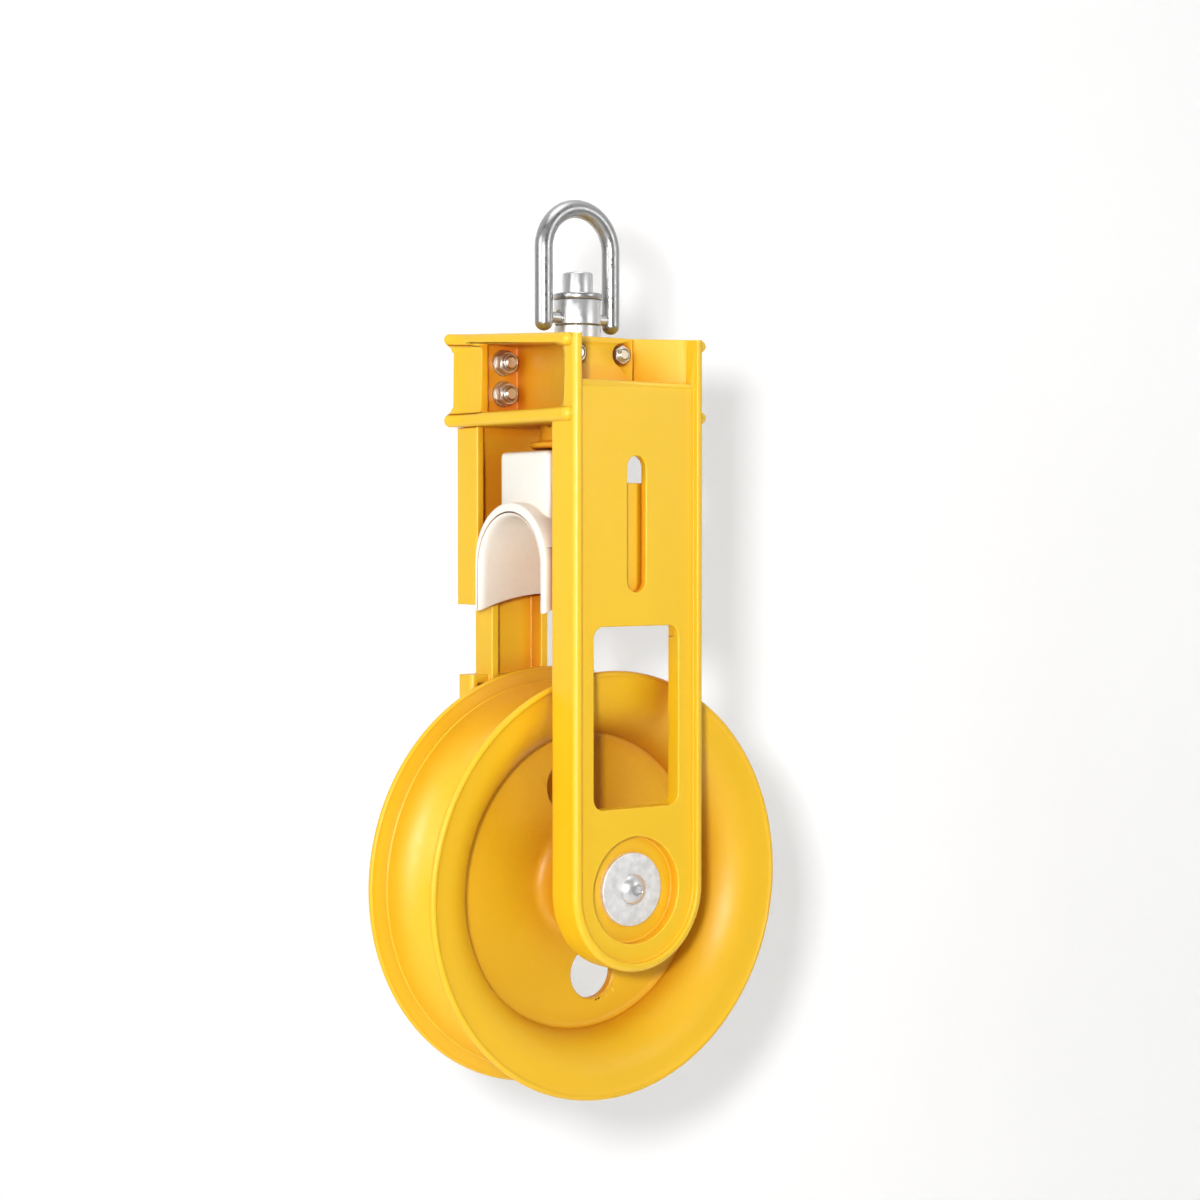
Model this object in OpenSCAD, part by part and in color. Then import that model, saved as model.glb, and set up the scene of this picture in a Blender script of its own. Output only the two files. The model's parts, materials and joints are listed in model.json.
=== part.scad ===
// Stringing sheave: a 200 mm wheel for hanging cable, between two moulded
// straps under a swivel eye. The part hangs from its eye, so the origin is
// the seat of the eye: the inside of the bow's crown, with +Z up. The axle
// runs along Y, the cable along X, and the front strap faces -Y.
// Heights inside the modules are measured from the axle, and at_axle() puts
// them in place.

/* [Sheave] */
// Outer diameter over the rims
sheave_d = 200; // [190:1:206]
// Width over the rims
sheave_w = 54.5; // [53:0.25:55]
// Diameter at the bottom of the cable groove
groove_root_d = 149; // [144:1:152]
// Radius of the round bottom of the cable groove
groove_r = 20.5; // [19.5:0.1:21]
// Wall of the groove and flanges
flange_wall = 5; // [3.5:0.1:5.5]
// Depth of the flared lip outside the groove
lip_depth = 6.5; // [5:0.25:8]
// Thickness of the web
web_t = 4.6; // [3:0.2:7]
// Diameter of the two holes in the web
web_hole_d = 24.6; // [16:0.2:27]
// Distance of the web holes from the axle
web_hole_r = 45.5; // [44:0.25:50]
// Angle of the first web hole from the bottom
web_hole_turn = 8.6; // [0:0.2:40]
// Outer diameter of the hub at the web
hub_base_d = 54; // [50:1:58]
// Outer diameter of the hub at its ends
hub_end_d = 42; // [38:1:46]
// Width of the hub over its ends
hub_w = 53; // [50:0.5:54]

/* [Axle] */
// Diameter of the axle
axle_d = 20; // [16:0.5:22]
// Wall of the flanged bushes
bush_wall = 3; // [2:0.25:4]
// Thickness of the flange of a bush
bush_flange_t = 1.2; // [0.8:0.1:1.6]
// Length of a bush inside the hub
bush_len = 20; // [12:0.5:24]
// Diameter of the cover washers
axle_washer_d = 34; // [30:0.5:42]
// Thickness of the cover washers
axle_washer_t = 2.3; // [1.5:0.1:3]
// Thread diameter of the axle screws
axle_screw_d = 8; // [6:0.5:8]
// Head diameter of the axle screws
axle_screw_head_d = 14; // [12:0.5:16]
// Height of the heads of the axle screws
axle_screw_head_h = 4.4; // [3.5:0.1:5]

/* [Front strap] */
// Width of the straps
strap_w = 74.6; // [72:0.2:78]
// Depth of the front strap along the axle
strap_depth = 19.4; // [18:0.2:21]
// Distance from the wheel's middle plane to the front strap's outer face
strap_face = 48.6; // [48:0.1:50]
// Width of the rim and thickness of the side walls
rim_t = 4; // [3:0.25:5]
// Depth of the panel below the rim
panel_in = 3; // [2:0.25:4]
// Thickness of the panel
panel_t = 3; // [2:0.25:4]
// Rounding of the straps' long outer edges
strap_edge_r = 2.6; // [1:0.1:3]
// Width of the slot
slot_w = 10.7; // [8:0.1:14]
// Height of the slot's lower end above the wheel's rim
slot_up0 = 37; // [34:1:45]
// Height of the slot's upper end above the wheel's rim
slot_up1 = 99.3; // [88:0.5:105]
// Width of the window
window_w = 49; // [40:0.5:54]
// Height of the window's lower edge above the axle
window_z0 = 38; // [36:0.5:44]
// Height of the window's upper edge above the wheel's rim
window_up = 21.4; // [10:0.5:26]
// Corner radius of the window
window_r = 5.5; // [3:0.5:8]
// Depth of the rib round the window
window_rib = 8; // [5:0.5:12]
// Diameter of the pocket round the cover washer
pocket_d = 49.4; // [46:0.2:52]
// Depth of that pocket below the rim
pocket_in = 8.6; // [7:0.1:9.5]

/* [Head] */
// Height of the underside of the head above the wheel's rim
head_up = 114.5; // [112:0.5:117]
// Height of the head's top edge at the front strap, above the wheel's rim
head_front_up = 153.6; // [150:0.2:155]
// Slope of the head's top, rising to the rear, in degrees
head_slope = 3.2; // [0:0.1:3.2]
// Half width of the head
head_half_w = 38; // [37.5:0.1:40]
// Distance from the middle plane to the head's rear edge
head_rear = 46.8; // [46:0.1:49]
// Thickness of the head's lower plate
head_floor_t = 6.2; // [4:0.2:8]
// Thickness of the head's upper plate
head_roof_t = 4.6; // [3:0.1:5]
// Distance from the middle plane to the nut seats in the side pockets
pocket_floor_y = 30; // [28:0.5:31]
// Distance from the middle plane to the front edge of the rear side walls
rear_wall_y = 24.7; // [22:0.1:27]
// Half width of the head's waist at its narrowest
waist_half = 13.6; // [13:0.1:15]
// Reach of the upper and lower plates past the side walls
plate_out = 3.2; // [2:0.1:4]
// Distance from the middle plane to the plates' front ends
plate_front = 47; // [44:0.1:47.5]
// Thickness of the upper plate's rounded sides
roof_edge_t = 5.8; // [5:0.1:6]
// Reach of the rear corner lips past the plates' sides
lip_out = 3.2; // [2:0.1:5]
// Radius between the lips and the side walls
lip_fillet = 3; // [2:0.25:4]
// Rounding of the side pockets' front corners
pocket_round = 6; // [3:0.5:8]
// Flare of the side walls at their rear edges
wall_flare = 1.2; // [0.5:0.1:2]
// Half width of the clamp boss inside the front recess
boss_half = 19.7; // [19:0.1:21]
// Distance from the middle plane to the face of the clamp boss
boss_face = 17.5; // [16:0.25:20]
// Height of the front recess's floor above the wheel's rim
sill_up = 133.5; // [130:0.5:136]
// Fall of the sloped band below the sill
sill_fall = 3.1; // [1:0.1:5]
// Diameter of the round boss under the head
neck_boss_d = 35; // [32:0.5:38]
// Diameter of the flange on that boss
neck_flange_d = 45; // [42:0.5:48]
// Thickness of that flange
neck_flange_t = 3.3; // [2:0.1:5]
// Height of the flange's underside above the wheel's rim
neck_flange_up = 103.6; // [103.4:0.1:105]

/* [Rear strap] */
// Distance from the middle plane to the rear strap's outer face
rear_face = 46.5; // [46:0.1:46.8]
// Distance from the middle plane to the front edge of its upper part
rear_upper_y = 29.5; // [29:0.1:31]
// Distance from the middle plane to the front edge of its neck
rear_neck_y = 32.2; // [31:0.1:34]
// Distance from the middle plane to the front edge of its cheek
rear_cheek_y = 34.6; // [33:0.1:36]
// Height of the lower end of its upper part above the wheel's rim
rear_upper_up = 30; // [28:0.5:34]
// Height of the top of its cheek above the axle
rear_cheek_z = 96.5; // [94:0.5:100]
// Left side of its neck
rear_neck_x0 = -27; // [-29:0.25:-26]
// Right side of its neck
rear_neck_x1 = 6; // [5:0.25:8]

/* [Cable guide] */
// Left end of the guide shoe
shoe_x0 = -40; // [-42:0.5:-36]
// Right end of the guide shoe
shoe_x1 = 19; // [14:0.5:22]
// Radius inside the shoe
shoe_in_r = 23.5; // [21:0.1:24]
// Radius outside the shoe
shoe_out_r = 28.2; // [27:0.1:28.5]
// Height of the centre of the shoe's inner round above the wheel's rim
shoe_in_up = 48; // [46:0.25:50]
// Height of the centre of the shoe's outer round above the wheel's rim
shoe_out_up = 50; // [49:0.25:51]
// Left side of the block on the shoe
block_x0 = -32; // [-34:0.5:-30]
// Right side of the block on the shoe
block_x1 = 11; // [8:0.5:13]
// Width of the block along the axle
block_w = 39.2; // [36:0.2:42]
// Gap between the raised block and the flange over it
block_gap = 1.6; // [1:0.1:3]
// Rounding of the block's corners
block_r = 4; // [2:0.25:5]
// Height of the top of the front slide above the wheel's rim
slide_up1 = 87; // [82:0.5:90]
// Height of the lower end of both slides above the wheel's rim
slide_up0 = 37; // [36:0.5:40]
// Travel of the guide from its raised place down to the wheel
guide_travel = 30.5; // [20:0.5:31]
// Gap left between the lowered shoe and the rims
guide_gap = 4.6; // [4.4:0.1:6]

/* [Swivel] */
// Height of the eye's seat above the wheel's rim
eye_up = 212.3; // [208:0.1:220]
// Thickness of the bow
bow_t = 8.5; // [7:0.1:9.5]
// Distance between the middles of the bow's legs
bow_pitch = 39.2; // [38:0.2:44]
// Height of the bow's pins above the wheel's rim
bow_pin_up = 165; // [164.9:0.1:167]
// Diameter of the bow's pins
bow_pin_d = 5.2; // [4:0.1:5.4]
// Diameter of the swivel's body
swivel_d = 22; // [20:0.2:22.4]
// Height of the joint between the swivel's two halves above the wheel's rim
swivel_split_up = 161.2; // [160.5:0.1:161.3]
// Height of the top of the swivel's turning half above the wheel's rim
swivel_top_up = 173.6; // [172:0.2:175]
// Thickness of the polished washer under the bolt head
swivel_washer_t = 3; // [2:0.1:4]
// Diameter of the swivel bolt
swivel_bolt_d = 10; // [8:0.5:10]
// Diameter of the head of the swivel bolt
swivel_bolt_head_d = 14.4; // [13:0.2:18]
// Height of the head of the swivel bolt
swivel_bolt_head_h = 9.8; // [6:0.2:10]
// Distance of the clamp studs from the swivel's axis
clamp_x = 12.9; // [12.5:0.1:13.2]
// Height of the clamp studs above the wheel's rim
clamp_up = 147.5; // [146:0.25:148]
// Thread diameter of the clamp studs
clamp_d = 5; // [4:0.5:5]
// Distance from the swivel's axis to the back of the clamp block
clamp_back = 9; // [8:0.25:10]

/* [Strap bolts] */
// Thread diameter of the strap bolts
strap_bolt_d = 6; // [5:0.5:6]
// Distance of the strap bolts from the middle
strap_bolt_x = 22; // [20:0.25:24]
// Height of the upper strap bolts above the wheel's rim
strap_bolt_up1 = 144.9; // [143:0.1:146]
// Height of the lower strap bolts above the wheel's rim
strap_bolt_up0 = 130.1; // [129:0.1:131]

/* [Hidden] */

$fn = 96;
eps = 0.01; // a cut runs this far past the face it opens
run_gap = 0.05; // radial clearance of a running fit
hole_gap = 0.25; // radial clearance of a bolt in its hole
slide_gap = 0.35; // clearance of the guide's slides in the straps
seat_gap = 0.02; // clearance of a fitted shank
part_gap = 0.3; // clearance where two moving bodies face each other

// Sheave
rim_r = sheave_d / 2;
groove_c = groove_root_d / 2 + groove_r;
lip_r = rim_r - lip_depth;
rim_round = 1.6;
lip_step = 1.9;
// Half width of the groove, and of its wall, where the lip starts
lip_y = sqrt(pow(groove_r, 2) - pow(groove_c - lip_r, 2));
lip_back_y = sqrt(pow(groove_r + flange_wall, 2) - pow(groove_c - lip_r, 2));

// Heights above the axle
slot_z0 = rim_r + slot_up0;
slot_z1 = rim_r + slot_up1;
window_z1 = rim_r + window_up;
head_z0 = rim_r + head_up;
head_front_z = rim_r + head_front_up;
sill_z = rim_r + sill_up;
neck_flange_z = rim_r + neck_flange_up;
rear_upper_z = rim_r + rear_upper_up;
shoe_in_z = rim_r + shoe_in_up;
shoe_out_z = rim_r + shoe_out_up;
slide_z1 = rim_r + slide_up1;
slide_z0 = rim_r + slide_up0;
eye_z = rim_r + eye_up;
bow_pin_z = rim_r + bow_pin_up;
swivel_split_z = rim_r + swivel_split_up;
swivel_top_z = rim_r + swivel_top_up;
clamp_z = rim_r + clamp_up;
strap_bolt_z1 = rim_r + strap_bolt_up1;
strap_bolt_z0 = rim_r + strap_bolt_up0;
block_z1 = neck_flange_z - block_gap;

// Axle stack, from the middle outwards
hub_half = hub_w / 2;
bore_r = axle_d / 2 + bush_wall;
// One side of the section of the hub and the web, from the bore out into the groove's wall
hub_side = [[bore_r, hub_half], [hub_end_d / 2 - 1, hub_half], [hub_end_d / 2, hub_half - 1],
    [hub_end_d / 2 + 1.2, web_t / 2 + 5], [hub_end_d / 2 + 2.6, web_t / 2 + 2.2],
    [hub_base_d / 2, web_t / 2],
    [groove_c - groove_r - 1.5, web_t / 2]];
strap_inner = strap_face - strap_depth;
thrust_t = strap_inner - hub_half - bush_flange_t - 2 * run_gap;
pocket_floor = strap_face - pocket_in;
rear_pocket_floor = rear_face - pocket_in + 1.6;
screw_hole_depth = 22;

// Strap bolts: hexagon head, washer, and lock nut with its round collar
strap_head_h = 4;
strap_hex = 10; // across the flats of head and nut
strap_washer_d = 12.5;
strap_washer_t = 1.2;
strap_nut_h = 4.2;
strap_collar_d = 8.4;
strap_collar_h = 1.6;
strap_bolt_out = 0.6; // the bolt's end stands out of the nut

// Head
slot_rib = 4;
head_top_z = head_front_z + (head_rear + strap_face) * tan(head_slope) + 1;
plate_half = head_half_w + plate_out;
flare_y = 33; // the lips and the side walls start to flare here
flare_run = head_rear - flare_y;
lip_r0 = (pow(flare_run, 2) + pow(lip_out, 2)) / (2 * lip_out);
wall_r0 = (pow(flare_run, 2) + pow(wall_flare, 2)) / (2 * wall_flare);
sweep_front = strap_face - 7.6;
sweep_end = pocket_floor_y - 3;
sweep_reach = strap_w / 2 - waist_half;
sweep_wall = 3;
// Radius of the arc that sweeps from the strap to the waist
sweep_r = (pow(sweep_reach, 2) + pow(sweep_front + sweep_end, 2)) / (2 * sweep_reach);
tongue_front = pocket_floor_y + rim_t;
tongue_half = head_half_w - rim_t - part_gap;
tongue_z1 = head_front_z - 3;
tongue_root = 20; // the ramp below the tongue reaches this far down

// Guide
guide_x = (rear_neck_x0 + rear_neck_x1) / 2;
arch_r = rim_r + guide_gap;
slide_rear_y = rear_face - panel_in - panel_t - slide_gap;
guide_screw_d = 4;
screw_head_d = 7;
screw_sink_d = screw_head_d + 1;
screw_sink = 3;
guide_screw_z = slide_z0 + 6;
screw_floor = shoe_in_r + 1.2; // the screws' blind holes in the shoe end here
slide_front_y = -strap_face + panel_in + slot_rib + slide_gap;
slide_half = window_w / 2 - slide_gap;
rear_slide_z1 = rear_upper_z + 39;
slide_scoop_r = 26;
rear_slide_half = (rear_neck_x1 - rear_neck_x0) / 2 - rim_t - slide_gap;
// The front screws sit past both sides of the slot, and the rear ones near the slide's sides
front_screw_xs = [-slot_w / 2 - 12, slot_w / 2 + 8];
rear_screw_xs = [guide_x - rear_slide_half + 5, guide_x + rear_slide_half - 5];

// Swivel
bow_r = bow_pitch / 2;
bow_c = eye_z - (bow_r - bow_t / 2);
bow_end_z = bow_pin_z - 2.3; // centre of the ball ends
pin_in = swivel_bolt_head_d / 2 + 0.4; // the pins' inner ends stay this far from the axis
swivel_seat_z = head_z0 + 7;
swivel_nut_h = 8;
nut_web = 6.5; // left between the nut and the stem
swivel_nut_z = swivel_seat_z - nut_web - swivel_nut_h;
bolt_end_z = swivel_nut_z - 1.9;
swivel_nut_af = 17;
stud_end = 1; // the studs' holes end this far in front of the middle plane
clamp_nut_h = 4.2;
clamp_nut_af = 8;
clamp_collar_d = 7;
clamp_collar_h = 1;
clamp_sink = 3; // depth of the round seats of the clamp nuts
clamp_sink_d = 11;
stud_out = 0.2; // the studs' ends stand out of their nuts
thrust_ring_t = 0.8;

module at_axle() translate([0, 0, -eye_z]) children();

// A round bar along Y from y0 to y1 about the point x, z
module bar_y(x, z, y0, y1, d) {
    translate([x, y0, z]) rotate([-90, 0, 0]) cylinder(h = y1 - y0, d = d);
}

// A hexagonal prism along Y
module hex_y(x, z, y0, y1, af) {
    translate([x, y0, z]) rotate([-90, 0, 0]) cylinder(h = y1 - y0, d = af / cos(30), $fn = 6);
}

// A block by its two corners
module block(a, b) translate(a) cube(b - a);

// A rectangle from a to b with round corners
module round_rect(a, b, r) {
    translate([a[0] + r, a[1]]) square([b[0] - a[0] - 2 * r, b[1] - a[1]]);
    translate([a[0], a[1] + r]) square([b[0] - a[0], b[1] - a[1] - 2 * r]);
    for (x = [a[0] + r, b[0] - r], y = [a[1] + r, b[1] - r]) translate([x, y]) circle(r = r, $fn = 48);
}

// An outline drawn in X and Z, given thickness from y0 to y1
module plate_y(y0, y1) {
    translate([0, y1, 0]) rotate([90, 0, 0]) linear_extrude(height = y1 - y0) children();
}

// The long outline of a strap: straight sides and a round end about the axle
module strap_outline(half, top) {
    translate([-half, 0]) square([2 * half, top]);
    circle(r = half);
}

// A strap's outer body, with its long edges rounded, from y0 to y1
module strap_body(half, top, y0, y1, r) {
    linear_extrude(height = top) round_rect([-half, y0], [half, y1], r);
    rotate([90, 0, 0]) rotate_extrude() intersection() {
        round_rect([-half, -y1], [half, -y0], r);
        translate([0, -y1]) square([half, y1 - y0]);
    }
}

// Half of the wheel's section: x is the radius and y runs along the axle
module wheel_section() {
    difference() {
        union() {
            intersection() {
                translate([groove_c, 0]) circle(r = groove_r + flange_wall);
                translate([hub_end_d, -rim_r]) square([lip_r - hub_end_d, 2 * rim_r]);
            }
            polygon(concat([for (p = hub_side) [p[0], -p[1]]],
                [for (i = [len(hub_side) - 1:-1:0]) hub_side[i]]));
            for (s = [-1, 1]) scale([1, s]) {
                polygon([[lip_r - 3, lip_y + lip_step], [rim_r - rim_round, sheave_w / 2 - 2 * rim_round],
                    [rim_r - rim_round, sheave_w / 2], [lip_r - 3, lip_back_y]]);
                translate([rim_r - rim_round, sheave_w / 2 - rim_round]) circle(r = rim_round, $fn = 48);
            }
        }
        translate([groove_c, 0]) circle(r = groove_r);
        for (s = [-1, 1]) scale([1, s]) translate([lip_r - 1.2, lip_y + lip_step - 0.7])
            square([1.2 + eps, 0.7]);
    }
}

module sheave_wheel() color("#f2b90f") at_axle() difference() {
    rotate([90, 0, 0]) rotate_extrude($fn = 180) wheel_section();
    for (turn = [web_hole_turn, web_hole_turn + 180]) rotate([0, -turn, 0])
        bar_y(0, -web_hole_r, -rim_r, rim_r, web_hole_d);
}

// A flanged bush, its flange on the hub's end; side is -1 at the front
module hub_bush(side) color("#7c6a45") at_axle() rotate([90 * side, 0, 0]) mirror([0, 0, 1]) difference() {
    union() {
        translate([0, 0, hub_half - bush_len]) cylinder(h = bush_len, r = bore_r - seat_gap);
        translate([0, 0, hub_half + seat_gap]) cylinder(h = bush_flange_t, r = bore_r + 3);
        translate([0, 0, hub_half - 1]) cylinder(h = 1 + 2 * seat_gap, r = bore_r - seat_gap);
    }
    translate([0, 0, hub_half - bush_len - 1]) cylinder(h = bush_len + 4, r = axle_d / 2 + run_gap);
}
module hub_bush_front() hub_bush(-1);
module hub_bush_rear() hub_bush(1);

// A thrust ring between a bush's flange and a strap's inner boss
module thrust_washer(side) color("#e9e6da") at_axle() rotate([90 * side, 0, 0]) mirror([0, 0, 1])
    translate([0, 0, strap_inner - thrust_t]) difference() {
        cylinder(h = thrust_t, r = bore_r + 3);
        translate([0, 0, -1]) cylinder(h = thrust_t + 2, r = axle_d / 2 + seat_gap);
    }
module thrust_washer_front() thrust_washer(-1);
module thrust_washer_rear() thrust_washer(1);

module axle() color("#b9bcc0") at_axle() difference() {
    bar_y(0, 0, -pocket_floor, rear_pocket_floor, axle_d);
    bar_y(0, 0, -pocket_floor - 1, -pocket_floor + screw_hole_depth, axle_screw_d + 2 * seat_gap);
    bar_y(0, 0, rear_pocket_floor - screw_hole_depth, rear_pocket_floor + 1, axle_screw_d + 2 * seat_gap);
}

// The cover washer that keeps the axle in the strap, at the floor of its pocket
module axle_washer(floor_y, side) color("#eceded") at_axle() rotate([90 * side, 0, 0]) mirror([0, 0, 1])
    translate([0, 0, floor_y]) difference() {
        union() {
            cylinder(h = axle_washer_t - 0.5, d = axle_washer_d);
            translate([0, 0, axle_washer_t - 0.5])
                cylinder(h = 0.5, d1 = axle_washer_d, d2 = axle_washer_d - 1);
        }
        translate([0, 0, -1]) cylinder(h = axle_washer_t + 2, d = axle_screw_d + 2 * hole_gap);
    }
module axle_washer_front() axle_washer(pocket_floor, -1);
module axle_washer_rear() axle_washer(rear_pocket_floor, 1);

// A domed screw with a hexagonal socket
module axle_screw(floor_y, side) color("#c9ccd0") at_axle() rotate([90 * side, 0, 0]) mirror([0, 0, 1])
    translate([0, 0, floor_y + axle_washer_t]) difference() {
        union() {
            translate([0, 0, -axle_washer_t - screw_hole_depth + 3])
                cylinder(h = axle_washer_t + screw_hole_depth - 3 + eps, d = axle_screw_d);
            rotate_extrude() intersection() {
                square([axle_screw_head_d / 2, axle_screw_head_h]);
                translate([0, axle_screw_head_h - axle_screw_head_d * 0.66])
                    circle(r = axle_screw_head_d * 0.66);
            }
        }
        translate([0, 0, axle_screw_head_h - 2.6]) cylinder(h = 3, d = 5 / cos(30), $fn = 6);
    }
module axle_screw_front() axle_screw(pocket_floor, -1);
module axle_screw_rear() axle_screw(rear_pocket_floor, 1);

// The front strap before its openings are cut
module front_strap() {
    difference() {
        strap_body(strap_w / 2, head_top_z, -strap_face, -strap_inner, strap_edge_r);
        plate_y(-strap_face - 1, -strap_face + panel_in)
            strap_outline(strap_w / 2 - rim_t, sill_z - sill_fall);
        plate_y(-strap_face + panel_in + panel_t, -strap_inner + 1)
            strap_outline(strap_w / 2 - rim_t, head_z0);
    }
    // The rib round the window is shallow over the window's top edge, where the guide's slide passes
    difference() {
        plate_y(-strap_face + panel_in, -strap_face + panel_in + window_rib)
            round_rect([-window_w / 2 - rim_t, window_z0 - rim_t], [window_w / 2 + rim_t, window_z1 + rim_t],
                window_r + rim_t);
        block([-window_w / 2 - eps, -strap_face + panel_in + slot_rib, window_z1 - window_r],
            [window_w / 2 + eps, -strap_inner, window_z1 + 2 * rim_t]);
    }
    plate_y(-strap_face + panel_in, -strap_face + panel_in + slot_rib)
        round_rect([-slot_w / 2 - 3, slot_z0 - 3], [slot_w / 2 + 3, slot_z1 + 3], slot_w / 2 + 2.99);
    bar_y(0, 0, -strap_face + panel_in, -pocket_floor + rim_t, pocket_d + 2 * rim_t);
    bar_y(0, 0, -pocket_floor, -strap_inner, axle_d + 16);
    for (turn = [30:60:330]) rotate([0, turn, 0])
        block([axle_d / 2 + 4, -pocket_floor + 1, -1.5], [strap_w / 2 - rim_t + 1, -strap_inner - 2, 1.5]);
}

// The hollow beside the head's waist, seen from above; grow moves its wall inwards
module side_hollow(grow) {
    intersection() {
        translate([-waist_half - sweep_r, sweep_end]) circle(r = sweep_r + grow, $fn = 240);
        translate([-plate_half - 1, -sweep_front]) square([plate_half + 1, sweep_front + pocket_floor_y]);
    }
}

// The head's outline seen from above, its side walls flaring out towards the rear
module head_plan() {
    translate([-strap_w / 2, -strap_inner - 1]) square([strap_w, strap_inner + rear_wall_y]);
    translate([-head_half_w, -strap_inner]) square([2 * head_half_w, strap_inner + head_rear]);
    for (s = [-1, 1]) scale([s, 1]) difference() {
        translate([head_half_w - 1, flare_y]) square([wall_flare + 1, flare_run]);
        translate([head_half_w + wall_r0, flare_y]) circle(r = wall_r0, $fn = 240);
    }
}

// The round nose of a plate's side, from radius r0 inwards, with a fillet towards the side wall;
// up is 1 where the wall stands on the plate and -1 where it hangs below
module lip_section(r0, z0, z1, up) {
    t = z1 - z0;
    wall_z = up > 0 ? z1 : z0;
    translate([r0 + t / 2, z0 + t / 2]) circle(r = t / 2, $fn = 48);
    translate([r0 + t / 2, z0]) square([t, t]);
    difference() {
        translate([r0 + 1, min(wall_z - eps, wall_z + up * lip_fillet)]) square([t, lip_fillet + eps]);
        translate([r0 + 1, wall_z + up * lip_fillet]) circle(r = lip_fillet, $fn = 48);
    }
}

// One plate of the head from height z0 to z1: straight sides with round noses, round front ends,
// and a lip that sweeps out in an arc at each rear corner
module head_plate(z0, z1, up) {
    t = z1 - z0;
    plate_y(-plate_front + t / 2, flare_y) round_rect([-plate_half, z0], [plate_half, z1], t / 2 - eps);
    for (s = [0, 1]) mirror([s, 0, 0]) {
        translate([-plate_half + t / 2, -plate_front + t / 2, z0 + t / 2]) sphere(d = t);
        plate_y(rear_wall_y, flare_y) translate([-plate_half, 0]) lip_section(0, z0, z1, up);
        intersection() {
            translate([-plate_half - lip_r0, flare_y, 0])
                rotate_extrude(angle = 50, $fn = 240) lip_section(lip_r0, z0, z1, up);
            block([-2 * head_half_w, flare_y, 0], [0, head_rear, 2 * head_top_z]);
        }
        translate([0, 0, z0]) linear_extrude(height = t) difference() {
            translate([-plate_half - lip_out, flare_y]) square([plate_half, flare_run]);
            translate([-plate_half - lip_r0, flare_y]) circle(r = lip_r0 + t / 2, $fn = 240);
        }
    }
}

// Tips its children with the head's sloped top, about the top's front edge
module on_slope() translate([0, -strap_face, head_front_z]) rotate([head_slope, 0, 0])
    translate([0, strap_face, -head_front_z]) children();

// All that lies between two heights measured at the head's front edge, along its slope
module slope_slab(z0, z1) {
    on_slope() block([-strap_face - 10, -strap_face - 20, z0], [strap_face + 10, 2 * strap_face, z1]);
}

// A prism across the head, drawn in Y and Z
module across() rotate([90, 0, 90]) translate([0, 0, -strap_face - 10])
    linear_extrude(height = 2 * (strap_face + 10)) children();

// The hollow of one side of the head, round at its front corners, behind it the rear side wall
module side_pocket() {
    floor_z = head_z0 + head_floor_t;
    roof_z = head_front_z - head_roof_t;
    difference() {
        intersection() {
            translate([0, 0, floor_z]) linear_extrude(height = head_top_z - floor_z) side_hollow(0);
            across() round_rect([-sweep_front, floor_z], [2 * strap_face, 2 * head_top_z], pocket_round);
            on_slope() across() round_rect([-sweep_front, 0], [2 * strap_face, roof_z], pocket_round);
        }
        block([-head_half_w - 1, rear_wall_y, head_z0],
            [-head_half_w + rim_t, pocket_floor_y + 1, head_top_z]);
    }
}

// The front recess over the sill, between the walls of the waist
module front_recess() {
    difference() {
        block([-strap_w / 2 + rim_t, -strap_face - 1, sill_z],
            [strap_w / 2 - rim_t, -boss_face, head_top_z + 1]);
        for (s = [0, 1]) mirror([s, 0, 0]) translate([0, 0, sill_z - 1]) linear_extrude(height = 80)
            side_hollow(sweep_wall);
    }
}

// The clamp block's outline seen from above, out to clearance c
module clamp_plan(c) {
    polygon([[-boss_half - c, -boss_face], [boss_half + c, -boss_face],
        [boss_half - 3.4 + c, -clamp_back + c], [-boss_half + 3.4 - c, -clamp_back + c]]);
}

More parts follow.
